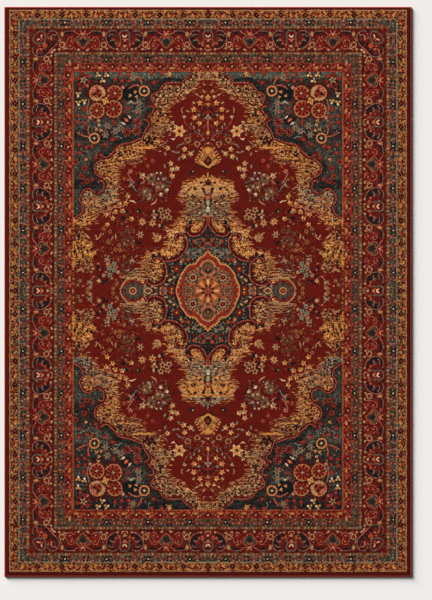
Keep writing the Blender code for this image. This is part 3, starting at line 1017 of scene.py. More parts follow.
def upper_flowers(pen):
    """The flowers of the red ground between the medallion and the gold band, above its arm."""
    creamy = [
        (10.7, 82.8), (14, 85.6), (14.8, 81.2), (24.5, 86.3), (22.5, 77), (19, 74), (22, 73.3),
        (21.5, 69.3),
    ]
    bed(pen, creamy, blossom, 1.7, "tan", "wine")
    bed(pen, creamy, lambda spot: spot.at(0.3, 0.6).oval(0.9, 0.6, "gold"))
    bed(pen, creamy[:7], lambda spot: spot.at(-0.7, -0.1).disc(0.4, "cream"))
    for x, y, turn in (
        (8, 85, -40), (22, 84.6, 200), (17, 84.2, -20), (25.5, 81.5, 70), (18.2, 78.8, 120),
        (26.0, 74.0, 80),
    ):
        pen.at(x, y, turn).leaf(2.6, 1.0, "sage")
    pen.at(9.7, 72).star(2.1, 4, "navy", depth=0.5, turn=40)
    pen.at(9.2, 72.2).disc(0.5, "tan")
    bed(pen, [(28.5, 71.3), (31, 71.3), (30, 67.7)], eye, 1.2, "slate", "cream")
    bed(pen, [(26, 68.3), (22, 66), (25, 64.3), (23.6, 65.6), (27.5, 69.4)], Pen.leaf, 2.1, 1.2, "teal")
    for x, y, radius in ((34.5, 68, 3.1), (29.5, 63.3, 3.0), (37.5, 59.5, 3.1)):
        pen.at(x, y).lobes(radius, 7, "brown", depth=0.3)
        pen.at(x, y).spokes(0.9, radius - 0.3, 7, "teal", share=0.25, turn=20)
        pen.at(x, y).spokes(1.2, radius - 0.2, 7, "ochre", share=0.14)
        pen.at(x, y).disc(0.8, "wine")
    bed(pen, [(25.3, 60.8), (28.9, 58.1), (26.8, 67.6), (35.8, 55.8)], Pen.oval, 1.2, 0.95, "sage")
    bed(pen, [(32, 57.7), (38.5, 55.5), (41, 57.3), (23.5, 63.2), (24.8, 56), (31.5, 66.5), (34, 61.5)],
        Pen.leaf, 1.9, 1.0, "teal")
    bed(pen, [(36.3, 68.3), (30.2, 62.7), (38.2, 60), (33.4, 64.5), (34.0, 70.2), (27.4, 63.0), (35.2, 58.2)],
        Pen.star, 1.1, 4, "tan", depth=0.5)
    bed(pen, [(24.6, 61.2), (28.8, 58.6)], Pen.disc, 0.7, "cream")
    pen.line([(31, 55.2), (31.6, 53.9), (33, 52.8), (34.5, 52)], 0.8, "tan", tip=0.4)
    blossom(pen.at(39.5, 69.3), 2.0, "tan", "wine")
    pen.line([(38, 67), (39.6, 65.6), (41, 64.5)], 0.6, "salmon", tip=0.4)
    for x, y, turn in ((40.2, 66.6, -30), (43.0, 63.6, -70)):
        pen.at(x, y, turn).leaf(2.6, 1.3, "navy")
    pen.line([(45, 65), (47, 68), (48.5, 71.5)], 0.5, "salmon")
    pen.at(46, 64.2, -30).leaf(2.9, 1.0, "sage")
    blossom(pen.at(47, 72.3), 1.5, "salmon", "wine")
    bed(pen, [(36.5, 75.5), (38.2, 80.0), (44.5, 75.5), (33.5, 78.8), (51, 68)], eye, 1.1, "rust", "wine")
    bed(pen, [(35, 73), (42.5, 72), (40.5, 77.3), (52, 72.5)], Pen.leaf, 2.2, 0.8, "brick")
    for x, y, turn, length in (
        (48.4, 65.7, 20, 2.6), (44.6, 61.9, -60, 3.2), (42.7, 65.3, 40, 2.6), (43.5, 60.2, -80, 2.4),
    ):
        pen.at(x, y, turn).at(-length / 2, 0).leaf(length, 1.4, "navy")
    pen.line([(47.5, 66.5), (45.8, 64.0), (43.4, 60.2)], 0.45, "sage")


def lower_flowers(pen):
    """The flowers of the red ground beside the medallion, down to its arm."""
    for x, y in ((24.3, 48), (28.5, 48.8), (23.5, 44.5), (27.5, 45), (32.3, 45.5)):
        pen.at(x, y, 7 * x).star(2.1, 5, "tan", depth=0.45)
        pen.at(x, y, 7 * x).star(1.3, 5, "wine", depth=0.45)
        pen.at(x, y).disc(0.4, "maroon")
    for x, y in ((33.7, 41), (40, 41.7)):
        pen.at(x, y).star(2.5, 6, "tan", depth=0.5, turn=20)
        pen.at(x, y).star(1.7, 6, "gold", depth=0.4, turn=20)
        pen.at(x, y).disc(0.6, "wine")
    for x, y in ((28, 39), (31.5, 47.7), (31, 44)):
        pen.marks((x, y, 1.0, 1.3, "navy"), (x + 1.3, y + 0.4, 0.7, 1.1, "tan"))
    palmette = pen.at(29.5, 30.8, 45)
    for lean in (-50, -25, 0, 25, 50):
        palmette.at(-0.5, 0, lean).leaf(7.0 - abs(lean) / 14, 1.5, "ochre" if lean % 2 else "tan")
    palmette.line([(0.5, 0), (5.5, 0)], 0.3, "wine")
    star = pen.at(41, 34)
    star.disc(1.5, "navy")
    star.star(2.5, 6, "tan", depth=0.65)
    star.disc(0.6, "maroon")
    for lean in (200, 230, 270, 310, 340):
        pen.at(42, 29.8, lean).leaf(2.3, 0.9, "navy")
    bed(pen, [(42, 48.3), (49.8, 47.7), (51.5, 44)], Pen.oval, 1.5, 1.2, "navy")
    bed(pen, [(42.6, 48.0), (50.4, 47.5)], Pen.disc, 0.5, "sage")
    gold = [
        (48.7, 57), (49.8, 53), (53.5, 52.3), (52, 48.3), (56, 47.7), (61.8, 46), (57.8, 43.8), (61, 40),
        (46.5, 43.5),
    ]
    bed(pen, gold, blossom, 1.6, "gold", "wine")
    bed(pen, gold, lambda spot: spot.at(-0.8, -0.6).leaf(1.7, 0.6, "ochre"))
    pen.line([(50.5, 51.5), (54, 50.5), (58, 50), (59.5, 46)], 0.45, "salmon")
    pen.line([(43.7, 53.3), (45.5, 54.3), (47.5, 54.3)], 0.7, "cream", tip=0.4)
    bed(pen, [(45.5, 36), (49, 36.5), (52, 34.5), (47, 32), (51, 30.5), (46, 28.5), (49.5, 27.7)],
        Pen.star, 1.9, 5, "brown", depth=0.55)
    bed(pen, [(45.9, 35.9), (49.2, 36.3), (51.8, 34.4), (47.1, 31.9), (50.8, 30.6)], Pen.disc, 0.5, "maroon")
    for first, second in (((64.8, 35), (66, 32)), ((66, 32), (68, 30.8)), ((68.3, 33.8), (67, 31.5)),
                          ((56, 34.5), (55.8, 31)), ((57.5, 33), (58.5, 30.5))):
        pen.line([first, second], 0.6, "tan", tip=0.4)
    bed(pen, [(54, 27.5), (53.3, 24.7), (56.2, 25), (60.3, 29.5), (59.5, 35.8), (63, 37.5)],
        eye, 1.3, "ochre", "wine")
    for x, y in ((61.5, 18.8), (46.5, 18), (72, 5)):
        twig = pen.at(x, y)
        for lean, reach in ((55, 3.4), (105, 2.2), (150, 3.0), (255, 2.4), (330, 1.6)):
            twig.at(0, 0, lean + x).leaf(reach, 0.7, "sage" if reach > 2.3 else "tan")
    bed(pen, [(57, 16.3), (57, 12.5), (60, 13.5), (59.5, 9.5)], blossom, 1.7, "sage", "navy")
    bed(
        pen,
        [
            (58.7, 14.9), (55.1, 14.3), (61.7, 11.3), (58, 7.4), (69.2, 8.5), (76, 12.5), (66.5, 16.5),
            (52.8, 9), (75.8, 2.8),
        ],
        lambda spot: spot.at(-0.9, 0).leaf(1.9, 0.9, "salmon"),
    )
    bed(pen, [(60.6, 16.4), (63.2, 9.4), (54.4, 11.2), (69.8, 13.6), (71.4, 1.9)], eye, 1.1, "tan", "brick")
    bed(pen, [(64.3, 11.3), (67, 13.3), (65.2, 8.7), (61, 6.5), (63, 6)], Pen.oval, 1.1, 0.8, "navy")
    bed(pen, [(48.5, 17.3), (47, 14.7), (50.3, 15.6)], Pen.leaf, 2.2, 1.0, "teal")
    bed(pen, [(73, 1), (55.5, 4), (57.5, 1.5), (77.5, 6), (79, 3.5), (50.8, 20.5)],
        blossom, 1.3, "ochre", "wine")
    pen.at(66, 6).lobes(1.3, 4, "tan", depth=0.3)
    bed(pen, [(70, 10), (74.5, 9), (54, 21), (64, 24.5), (57.5, 22)], Pen.leaf, 2.0, 0.8, "brick")


def side_medallion(pen):
    """The half medallion at the field's side: gold branches over a dark ground."""
    outline = [
        (81.5, 30), (77.5, 30.5), (75.5, 33.5), (74.0, 31), (70.5, 30.5), (69.5, 27), (68.0, 23),
        (69.5, 19.5), (71.5, 18), (75.5, 17), (81.5, 15.0),
    ]
    pen.area(outline, GILT, comb=1.1)
    low, high = (66, 10), (81.5, 36)
    strew(pen, GILT, low, high,
        (1.25, fleck, "wine", 1.6, 0.8, 51), (1.9, dash, "ochre", 1.8, 0.5, 54),
        (1.9, fleck, "maroon", 1.5, 0.9, 52),
    )
    for yarn, seed in (("ochre", 53), ("brown", 55), ("tan", 56), ("maroon", 57)):
        sprinkle(pen, FIELD, (70, 11), (81.5, 18), 1.7, dash(yarn, 1.8, 0.5), seed)
        sprinkle(pen, FIELD, (76, 30), (81.5, 40), 2.1, fleck(yarn, 1.6, 0.8), seed + 8)
    for x, y, radius in ((72.2, 26.5, 1.9), (74.0, 22.4, 1.6), (70.4, 21.6, 1.6), (75.5, 28.2, 1.5)):
        blossom(pen.at(x, y, 9 * x), radius, "gold", "maroon")
    for x, y, turn, length in (
        (78.0, 25.5, 20, 4.0), (80.3, 23.0, 60, 4.4), (75.3, 21.3, 40, 3.0), (77.8, 18.0, -30, 3.6),
        (77.6, 32.6, 30, 4.0), (73.6, 18.4, -60, 1.8), (79.4, 34.8, 80, 2.6), (72.6, 24.0, 30, 2.2),
    ):
        pen.at(x, y, turn).at(-length / 2, 0).leaf(length, 2.0, "navy")
        pen.at(x, y, turn + 60).at(-length / 2, 0.4).leaf(length, 0.6, "ochre")
    pen.at(77.0, 42.6, 10).at(-1.5, 0).leaf(3.2, 1.3, "navy")
    sprinkle(pen, FIELD, (80.2, 0), (81.5, 45), 1.0, fleck("slate", 1.4, 0.9), 58)
    pen.line([(74.6, 34.5), (73.5, 33.2), (71.8, 31.8)], 1.1, "tan", tip=0.5)
    pen.line([(76.5, 19.2), (78.3, 22.0), (80.2, 26.5)], 0.8, "gold")


# ---------------------------------------------------------------------------------------------
# The medallion
# ---------------------------------------------------------------------------------------------

CLOUD_EDGE = [
    (-1, 71.8), (0, 71.5), (3, 69.7), (7, 67), (12, 65.8), (14.5, 64), (16.2, 60), (15.5, 56), (13, 54.5),
    (12.5, 50), (14, 46.5), (18.5, 42.6), (19, 38.5), (25, 36.8), (24.5, 31), (25, 27), (28, 24),
    (33, 23.6), (37, 23), (39, 19), (39, 14), (40, 10.5), (43, 9.5), (44.5, 7), (45, 3), (45, -1), (-1, -1),
]
UPPER_VOLUTE = [
    (0, 44), (0.5, 41), (2, 37.5), (5, 34.3), (8.5, 33), (11.5, 34), (12.7, 36), (12.3, 38.3), (11, 39.7),
    (9, 40),
]
MIDDLE_VOLUTE = [
    (18.5, 31), (19.6, 32), (19, 33.6), (17, 34.2), (15, 34), (13.3, 32), (12.7, 29), (13, 26), (14.5, 23),
    (17, 20.5), (20, 18.8), (23.5, 18), (26, 18.3), (27.8, 19.5), (28.3, 21),
]
SIDE_VOLUTE = [
    (31.5, 17), (33.5, 18), (33, 19.3), (31, 19.8), (28.5, 19), (26.5, 17), (25.5, 14), (25.3, 10), (26, 7),
    (28, 4.8), (31, 3.5), (34, 3.5), (36, 4.5), (37, 6),
]
SMALL_VOLUTE = [(36.5, 8), (37.3, 5.5), (39, 3.5), (41, 2.8), (43, 4)]
OGEE = [
    (-0.1, 24.4), (0.8, 22.9), (2, 21.4), (3.8, 20.4), (5.2, 19.5), (6.4, 17.7), (7.4, 16.2), (9, 15.8),
    (11, 15.5), (13, 14), (14.5, 12), (16, 10), (17, 7), (18, 4.5), (18.8, 2), (19, -0.1),
]
OGEE_HEART = [
    (0, 18.8), (3.4, 17.6), (5.2, 14.6), (8.6, 12.9), (12.2, 10.6), (14.3, 6.4), (14.9, 2.4), (15, -1),
    (-1, -1), (-1, 18.8),
]


def medallion_cloud(pen):
    """The gold cloud round the medallion, combed out at its edge."""
    pen.area(CLOUD_EDGE, CLOUD, comb=1.3, smooth=False)
    low, high = (0, 0), (56, 72)
    sprinkle(pen, CLOUD, low, high, 2.1, dash("ochre", 2.2, 0.5), 31)
    sprinkle(pen, CLOUD, (9, 0), high, 2.0, fleck("wine", 1.6, 0.8), 32)
    sprinkle(pen, CLOUD, low, high, 3.0, dash("cream", 1.6, 0.4), 33)
    sprinkle(pen, CLOUD, (12, 17), (36, 46), 1.9, dash("gold", 2.0, 0.6), 35)
    sprinkle(pen, CLOUD, (11, 0), high, 2.3, dash("wine", 1.5, 0.45), 34)
    sprinkle(pen, CLOUD, low, high, 3.6, fleck("maroon", 1.2, 0.8), 30)
    sprinkle(pen, CLOUD, (0, 42), (15, 58), 1.5, dash("slate", 1.9, 0.5), 37)
    sprinkle(pen, CLOUD, (0, 43), (14, 57), 2.1, fleck("sage", 1.6, 0.7), 38)
    sprinkle(pen, CLOUD, (4, 42), (16, 57), 1.6, dash("wine", 1.6, 0.5), 27)
    sprinkle(pen, CLOUD, (33, 5), (46, 26), 1.5, dash("brown", 1.9, 0.6), 35)
    sprinkle(pen, CLOUD, (35, 5), (46, 26), 1.7, dash("wine", 1.7, 0.6), 36)
    for index, (x, y) in enumerate(CLOUD_EDGE[3:-3]):
        for step in range(5):
            luck = scatter(index, step)
            wisp = pen.at(x + 0.6 + 2.0 * luck, y - 2.2 + 1.1 * step)
            wisp.oval(1.4 + 0.5 * luck, 0.26, ("tan", "salmon", "ochre", "gold", "brown")[step])
    for yarn, seed in (("maroon", 28), ("brown", 26), ("tan", 29), ("teal", 25)):
        sprinkle(pen, FIELD, (38, 6.5), (53, 14), 1.4, dash(yarn, 2.2, 0.45), seed)
    for branch in (
        [(39.5, 9.9), (44, 9.9), (51, 9.3)],
        [(40.5, 8.4), (45, 8.3), (51.5, 7.7)],
        [(41.5, 11), (43.8, 12.6), (46, 11.6), (48, 10.6), (51.5, 10.4), (52.8, 8.6)],
        [(46.5, 6.9), (49, 6.6), (51.3, 4.9), (53.5, 1.2)],
    ):
        pen.line(branch[:4], 0.3, "tan", tip=0.5)


def volutes(pen):
    """The pink scrolls that bound the medallion, red on their inner side and black on their outer."""
    inside = UPPER_VOLUTE[:6] + [(13.2, 35.2)] + MIDDLE_VOLUTE[3:14] + SIDE_VOLUTE[4:13] + SMALL_VOLUTE[1:]
    pen.area([
        (-1, 44.5), *inside, (44.5, 6.5), (47.5, 6.9), (49.3, 5), (51, 2.5), (53.5, 1), (54, -1), (-1, -1),
    ], GROUND, smooth=False)
    for scroll in (UPPER_VOLUTE, MIDDLE_VOLUTE, SIDE_VOLUTE, SMALL_VOLUTE):
        pen.line(scroll, 1.0, "wine", shift=0.7)
        pen.line(scroll, 0.5, "maroon", shift=1.3)
        pen.line(scroll, 1.0, "navy", shift=-0.7)
        pen.line(scroll, 0.6, "brick")
        pen.line(scroll, 0.2, "salmon", shift=-0.3)
        pen.beads(scroll, 1.6, 0.5, "wine", shift=1.9)
        pen.beads(scroll, 1.6, 0.35, "maroon", shift=2.9)
    for x, y, turn in (
        (12.9, 35.6, 90), (28.6, 20.6, 60), (36.9, 2.2, 0), (11.6, 39.8, 120), (31.5, 20.8, 20),
    ):
        pen.at(x, y, turn).leaf(3.2, 2.0, "navy")
    for low, high in (((1, 33), (12.5, 43)), ((13, 18), (27, 34)), ((26, 4), (37, 20)), ((37, 3), (44, 8))):
        strew(pen, CLOUD, low, high,
            (2.3, fleck, "maroon", 1.5, 0.8, 39), (1.7, fleck, "wine", 1.6, 0.9, 40),
        )
    curls = (
        (7.6, 37.8), (16.3, 31.9), (30.8, 18.0), (39.7, 5.6), (17.2, 27.8), (21.5, 22.3), (29.2, 12.0),
        (31.8, 7.4),
    )
    for index, (x, y) in enumerate(curls):
        curl = pen.at(x, y, 35 * index)
        blossom(curl, 1.4, "gold", "wine")
        curl.marks((2.0, 0, 50, 2.2, 0.9, "navy"), (-1.6, 1.2, 130, 2.2, 0.8, "tan"))
    pen.line([(4.8, 38.5), (6.6, 39.3), (8.6, 38.9), (9.9, 37.4), (9.3, 36.0), (7.4, 35.7)], 0.7, "gold")
    bed(pen, [(11.7, 61), (8, 57), (9.8, 57.3), (4, 65.5), (13.5, 39)], Pen.oval, 0.9, 0.6, "maroon")
    bed(pen, [(2.8, 61.5), (7.7, 61.8)], Pen.oval, 1.2, 1.0, "navy")
    bed(pen, [(3.0, 61.8), (7.9, 62.0)], Pen.disc, 0.45, "slate")
    pen.area([(-0.5, 58.5), (1.9, 57), (2.9, 52), (2.3, 47.5), (0.8, 46), (-0.5, 46)], "slate")
    sprinkle(pen, "slate", (0, 46), (3, 58), 1.1, fleck("sage", 1.3, 0.7), 3)
    pen.line([(0.2, 59.2), (1.9, 57), (2.9, 52), (2.3, 47.5)], 0.25, "rust")
    pen.at(0, 56.4).lobes(1.5, 5, "rust", depth=0.3, turn=90)
    pen.marks(
        (0, 56.4, 0.5, "gold"), (1.9, 54.9, 0.6, 0.9, "navy"), (0, 52.9, 0.9, 1.6, "tan"),
        (0, 49.4, 0.95, 1.5, "cream"), (0, 49.2, 0.4, 0.8, "sage"),
    )
    pen.box(-1, 40, 0.8, 45, "brick")
    pen.line([(0, 45.3), (2.8, 45.1)], 0.4, "salmon")
    pen.line([(0.9, 44.6), (0.8, 41.5)], 0.25, "salmon")
    for lean in (20, 55, 90, -20):
        pen.at(0.2, 64.6, lean).leaf(3.4, 0.9, "wine")
    pen.at(0, 64.6).disc(0.8, "navy")
    for x, y, turn in ((1.5, 58.5, 60), (3.4, 53.5, 20), (3.8, 50.2, -10), (3.0, 46.6, -40), (1.0, 68.5, 90)):
        pen.at(x, y, turn).leaf(2.6, 1.3, "maroon" if turn > 0 else "slate")


def medallion_ground(pen):
    """The flowers on the dark ground round the middle of the medallion."""
    low, high = (0, 0), (54, 44)
    strew(pen, GROUND, low, high,
        (2.9, fleck, "teal", 1.9, 0.8, 41), (1.9, fleck, "wine", 1.7, 0.8, 42),
        (2.5, fleck, "navy", 1.9, 0.9, 46), (2.5, fleck, "sage", 1.5, 0.6, 43),
        (3.1, fleck, "brick", 1.6, 0.7, 44), (4.3, fleck, "tan", 1.1, 0.6, 45),
    )
    for x, y in ((19, 13.2), (22, 1.0)):
        pen.at(x, y).disc(2.4, "wine")
        pen.at(x, y).ring(1.2, 1.7, "brick")
        pen.at(x, y).disc(0.6, "gold")
        pen.at(x, y).at(1.5, -2.2, 40).leaf(2.6, 0.7, "sage")
    bed(pen, [(12, 19), (15.6, 18.4), (2.5, 30.7), (27.8, 2.0), (8.4, 30)], blossom, 1.2, "rust", "wine")
    bed(pen, [(8.5, 22.5), (12.3, 23.0), (5.0, 24.0)], blossom, 1.4, "sage", "wine")
    bed(pen, [(16.4, 17.4), (20.6, 8.4), (23.4, 6.2)], Pen.disc, 0.7, "gold")
    bed(pen, [(21.5, 7), (24.5, 4.0), (24, 9.3)], Pen.leaf, 2.2, 1.0, "tan")
    pen.marks((4.0, 29.6, -55, 3.4, 1.4, "brick"), (7.0, 26.8, 10, 2.8, 1.3, "wine"))
    pen.line([(0, 24.2), (0.5, 25.4), (2.0, 25.4), (2.7, 26.5), (2.0, 27.5), (1.1, 27.0)], 0.35, "rust")
    pen.at(0, 28.6).disc(0.9, "rust")
    pen.line([(30.5, 1.6), (34.0, 2.4), (38.0, 2.0), (41.0, 0.6)], 0.55, "tan")
    pendant = pen.at(45.5, 0.0)
    pen.area([(40, -1), (40, 3.2), (43, 6.6), (47.6, 6.6), (50.4, 4), (51.6, -1)], "wine", smooth=False)
    pen.line([(41.5, 5.0), (44.5, 6.5), (48, 5.9), (50.4, 3.4), (51.1, 0)], 0.8, "brick")
    pen.area(
        [(39, -1), (39.6, 2.4), (42.6, 5.1), (47.2, 5.2), (49.9, 2.8), (50.2, -1)], "slate", smooth=False,
    )
    strew(pen, "slate", (40, 0), (51, 5),
        (1.2, fleck, "brown", 1.6, 0.9, 5), (1.5, fleck, "teal", 1.6, 0.9, 6),
    )
    pendant.lobes(2.4, 10, "tan", depth=0.15)
    pendant.disc(1.7, "brick")
    pendant.ring(0.5, 0.9, "wine")
    pendant.disc(0.4, "tan")
    pen.marks(
        (32.8, 0, 0, 7.0, 5.6, "navy"), (33.4, 0, 0, 5.8, 4.2, "tan"), (34.3, 0, 0, 4.0, 2.4, "slate"),
        (35.5, 0, 0, 2.0, 1.2, "brick"),
    )
    for x, yarn in ((25.6, "salmon"), (27.2, "brick"), (28.8, "tan"), (30.6, "brick")):
        pen.at(x, 0.9, 90).at(-0.9, 0).leaf(2.4, 0.7, yarn)
    pen.line([(37.0, 7.3), (42.0, 7.3), (48.0, 7.2), (50.9, 4.8), (52.5, 2.2), (52.8, 0)], 0.5, "tan")
    for yarn, level in (("brown", 8.4), ("tan", 6.4)):
        pen.line([(38.0, level), (42.5, level)], 0.3, yarn, tip=0.4)


def ogee(pen):
    """The red heart of the medallion: a feathered gold outline, a beaded rim, and eyes round a flower."""
    pen.area(OGEE + [(-1, -1)], "brick", smooth=False)
    pen.line(OGEE, 1.2, "navy", shift=0.95)
    pen.line(OGEE, 0.5, "gold")
    pen.line(OGEE, 0.25, "tan", shift=0.4)
    for index, (x, y) in enumerate(OGEE[1:-1]):
        pen.at(x, y, 20 + 12 * index).leaf(1.6, 0.7, ("gold", "tan")[index % 2])
    pen.beads(OGEE[1:], 3.2, 0.65, "slate", shift=-2.3)
    pen.area(OGEE_HEART, "ochre", smooth=False)
    low, high = (0, 0), (16, 19)
    for seed, (yarn, spacing) in enumerate((
        ("rust", 1.4), ("brick", 1.3), ("slate", 1.7), ("wine", 1.9), ("tan", 2.3),
    )):
        sprinkle(pen, "ochre", low, high, spacing, fleck(yarn, 1.5, 0.8), 61 + seed)
    arch = pen.at(0, 13.9)
    arch.disc(4.8, "tan")
    arch.disc(4.3, "rust")
    arch.disc(3.6, "brown")
    arch.spokes(2.0, 3.3, 9, "slate", share=0.35)
    arch.spokes(1.2, 1.9, 7, "ochre", share=0.3)
    arch.marks((0, 0.6, -90, 4.2, 3.4, "navy"), (0, 0.0, -90, 2.2, 1.4, "ochre"))
    spot = pen.at(9.1, 8.1)
    spot.oval(4.0, 3.5, "brown")
    spot.spokes(3.0, 3.8, 11, "tan", share=0.25)
    spot.oval(3.0, 2.7, "navy")
    spot.lobes(2.5, 9, "tan", depth=0.25)
    spot.oval(1.7, 1.5, "maroon")
    spot.oval(0.9, 0.7, "brick")
    side = pen.at(11.6, 0)
    side.oval(3.9, 2.9, "brown")
    for lean in (0, 45, 90, 135, 180):
        side.at(0, 0, lean).at(0.9, 0).leaf(2.6, 1.2, "navy")
        side.at(0, 0, lean).at(1.3, 0).leaf(1.9, 0.6, "tan")
    side.disc(0.8, "brick")
    for x, y, turn in ((3.2, 8.8, 30), (5.4, 4.9, 10), (12.6, 4.2, 60), (5.0, 11.6, 100), (1.0, 9.0, 200)):
        pen.at(x, y, turn).leaf(3.0, 1.8, "teal")
        pen.at(x, y, turn).at(0.7, 0).leaf(1.7, 0.6, "navy")
    middle = pen.at(0, 0)
    middle.lobes(7.5, 8, "rust", depth=0.3)
    middle.spokes(3.2, 7.0, 8, "gold", share=0.36)
    middle.spokes(4.4, 7.3, 8, "brown", share=0.2, turn=22)
    middle.spokes(3.6, 6.4, 4, "cream", share=0.06)
    middle.lobes(3.6, 8, "ochre", depth=0.1)
    for angle in (22, 68):
        middle.at(0, 0, angle).at(3.2, 0).oval(1.1, 0.7, "navy")
    middle.lobes(2.5, 4, "brick", depth=0.15, turn=45)
    middle.disc(1.3, "ochre")
    middle.disc(0.6, "wine")


def draw_quarter(draft):
    """One quarter of the pattern."""
    pen = Pen(draft, spin=PATTERN_SCALE)
    draw_border(pen)
    corner_ground(pen)
    quatrefoil(pen)
    corner_flowers(pen)
    gold_band(pen)
    red_ground(pen)
    axis_spray(pen)
    axis_pendant(pen)
    upper_flowers(pen)
    lower_flowers(pen)
    side_medallion(pen)
    medallion_cloud(pen)
    volutes(pen)
    medallion_ground(pen)
    ogee(pen)


# ---------------------------------------------------------------------------------------------
# Abrash: the dye lots that change from one stretch of rows to the next over the whole rug
# ---------------------------------------------------------------------------------------------

# Each stretch: its upper end along the rug from the pattern's middle, the two yarns mixed in it, and the
# second one's share.
GROUND_LOTS = [
    (-125, "navy", "slate", 0.25), (-120, "slate", "navy", 0.4), (-111.5, "teal", "slate", 0.3),
    (-105.7, "slate", "teal", 0.3), (-100.8, "navy", "slate", 0.2), (-92, "slate", "navy", 0.4),
    (-82, "teal", "sage", 0.15), (-76, "slate", "navy", 0.3), (-67.6, "navy", "slate", 0.25),
    (-59.8, "teal", "slate", 0.3), (-48, "slate", "teal", 0.4), (-30, "navy", "slate", 0.3),
    (-12, "navy", "slate", 0.35), (2, "slate", "navy", 0.4), (14, "navy", "slate", 0.3),
    (19.5, "slate", "navy", 0.4), (26, "teal", "slate", 0.35), (44, "slate", "navy", 0.45),
    (53, "slate", "teal", 0.35), (61.7, "teal", "slate", 0.4), (67.6, "navy", "slate", 0.2),
    (75.4, "slate", "teal", 0.3), (85, "teal", "slate", 0.25), (91, "slate", "teal", 0.25),
    (97.5, "navy", "slate", 0.25), (113.5, "teal", "slate", 0.25), (117, "slate", "teal", 0.3),
    (123.7, "navy", "slate", 0.3), (128, "slate", "navy", 0.3), (180, "teal", "sage", 0.12),
]
GILT_LOTS = [
    (-125, "ochre", "tan", 0.4), (-92, "tan", "ochre", 0.45), (-81, "ochre", "brown", 0.35),
    (-71.5, "gold", "ochre", 0.4), (-56, "gold", "ochre", 0.25), (-51, "tan", "ochre", 0.35),
    (-40, "sage", "teal", 0.45), (0, "gold", "ochre", 0.35), (36, "gold", "ochre", 0.35),
    (48, "gold", "ochre", 0.2), (53, "tan", "ochre", 0.4), (57, "tan", "sage", 0.4),
    (62, "tan", "sage", 0.35), (67, "tan", "ochre", 0.3), (79, "gold", "ochre", 0.4),
    (91, "gold", "ochre", 0.2), (100, "ochre", "tan", 0.4), (113, "ochre", "gold", 0.5),
    (125, "ochre", "tan", 0.5), (180, "tan", "ochre", 0.4),
]
CLOUD_LOTS = [
    (-64, "sage", "brown", 0.4), (-50, "gold", "ochre", 0.2), (-42, "tan", "brown", 0.45),
    (-36, "gold", "tan", 0.4), (-30, "tan", "gold", 0.4), (-25, "ochre", "brown", 0.3),
    (-18, "ochre", "gold", 0.4), (-8, "tan", "brown", 0.4), (8, "ochre", "tan", 0.4),
    (18, "ochre", "gold", 0.4), (30, "gold", "ochre", 0.25), (36.5, "gold", "cream", 0.3),
    (41.5, "gold", "ochre", 0.3), (50, "ochre", "brown", 0.45), (57, "ochre", "brown", 0.4),
    (60, "tan", "ochre", 0.45), (65, "gold", "tan", 0.45), (180, "gold", "ochre", 0.25),
]
# The field mixes the same two reds everywhere: only each stretch's end and the second one's share change.
FIELD_SHARES = [
    (-100, 0.3), (-94, 0.6), (-62, 0.3), (-57, 0.6), (20, 0.2), (24, 0.5), (58, 0.3), (62, 0.6), (75, 0.3),
    (80, 0.55), (86, 0.25), (92, 0.6), (104, 0.2), (108, 0.5), (180, 0.25),
]
FIELD_LOTS = [(end, "red", "dusk_red", share) for end, share in FIELD_SHARES]


def dye(knots, placeholder, lots, heights):
    """Give a placeholder its yarns: short runs of two dye lots, which change along the rug."""
    ends, firsts, seconds, shares = zip(*lots)
    lot = np.searchsorted(ends, heights)
    first, second = (np.array([CODES[yarn] for yarn in yarns])[lot, None] for yarns in (firsts, seconds))
    rows = np.arange(len(heights))[:, None] // 2
    runs = np.arange(knots.shape[1])[None, :] // 4
    mixed = np.where(chance(rows, runs) < np.array(shares)[lot, None], second, first)
    spots = knots == CODES[placeholder]
    knots[spots] = mixed[spots]


# The share of the knots that sit a row too high, and of those that sit a row too low.
STRAY_SHARE = 0.07


def fray(knots):
    """The unevenness of weaving: rows lie a knot off their places here and there, and single knots stray."""
    rows, columns = np.indices(knots.shape)
    drift = np.round(0.9 * np.sin(rows[:, 0] * 12.9898) * np.sin(rows[:, 0] * 0.61)).astype(int)
    luck = np.modf(np.abs(np.sin(rows * 4.898 + columns * 7.23) * 23421.631))[0]
    stray = np.where(luck < STRAY_SHARE, 1, 0) - np.where(luck > 1 - STRAY_SHARE, 1, 0)
    rows = np.clip(rows + stray, 0, knots.shape[0] - 1)
    columns = np.clip(columns + drift[:, None], 0, knots.shape[1] - 1)
    return knots[rows, columns]


def unfold(draft, rows, columns, shift):
    """The whole rug's knots from one quarter. shift moves the pattern along the rug."""
    heights = (np.arange(rows) + 0.5 - rows / 2) * draft.knot - shift
    sides = (np.arange(columns) + 0.5 - columns / 2) * draft.knot
    row = np.floor(np.abs(heights) / draft.knot).astype(int)
    column = np.floor(np.abs(sides) / draft.knot).astype(int)
    knots = draft.knots[row[:, None], column[None, :]].copy()
    knots = fray(knots)
    for placeholder, lots in (
        (GROUND, GROUND_LOTS), (GILT, GILT_LOTS), (CLOUD, CLOUD_LOTS), (FIELD, FIELD_LOTS),
    ):
        dye(knots, placeholder, lots, heights)
    return knots


# ---------------------------------------------------------------------------------------------
# Materials
# ---------------------------------------------------------------------------------------------


def linear(color):
    """A display colour from 0 to 255, as the linear colour that a shader takes."""
    shares = [channel / 255 for channel in color]
    return [
        share / 12.92 if share <= 0.04045 else ((share + 0.055) / 1.055) ** 2.4 for share in shares
    ] + [1.0]


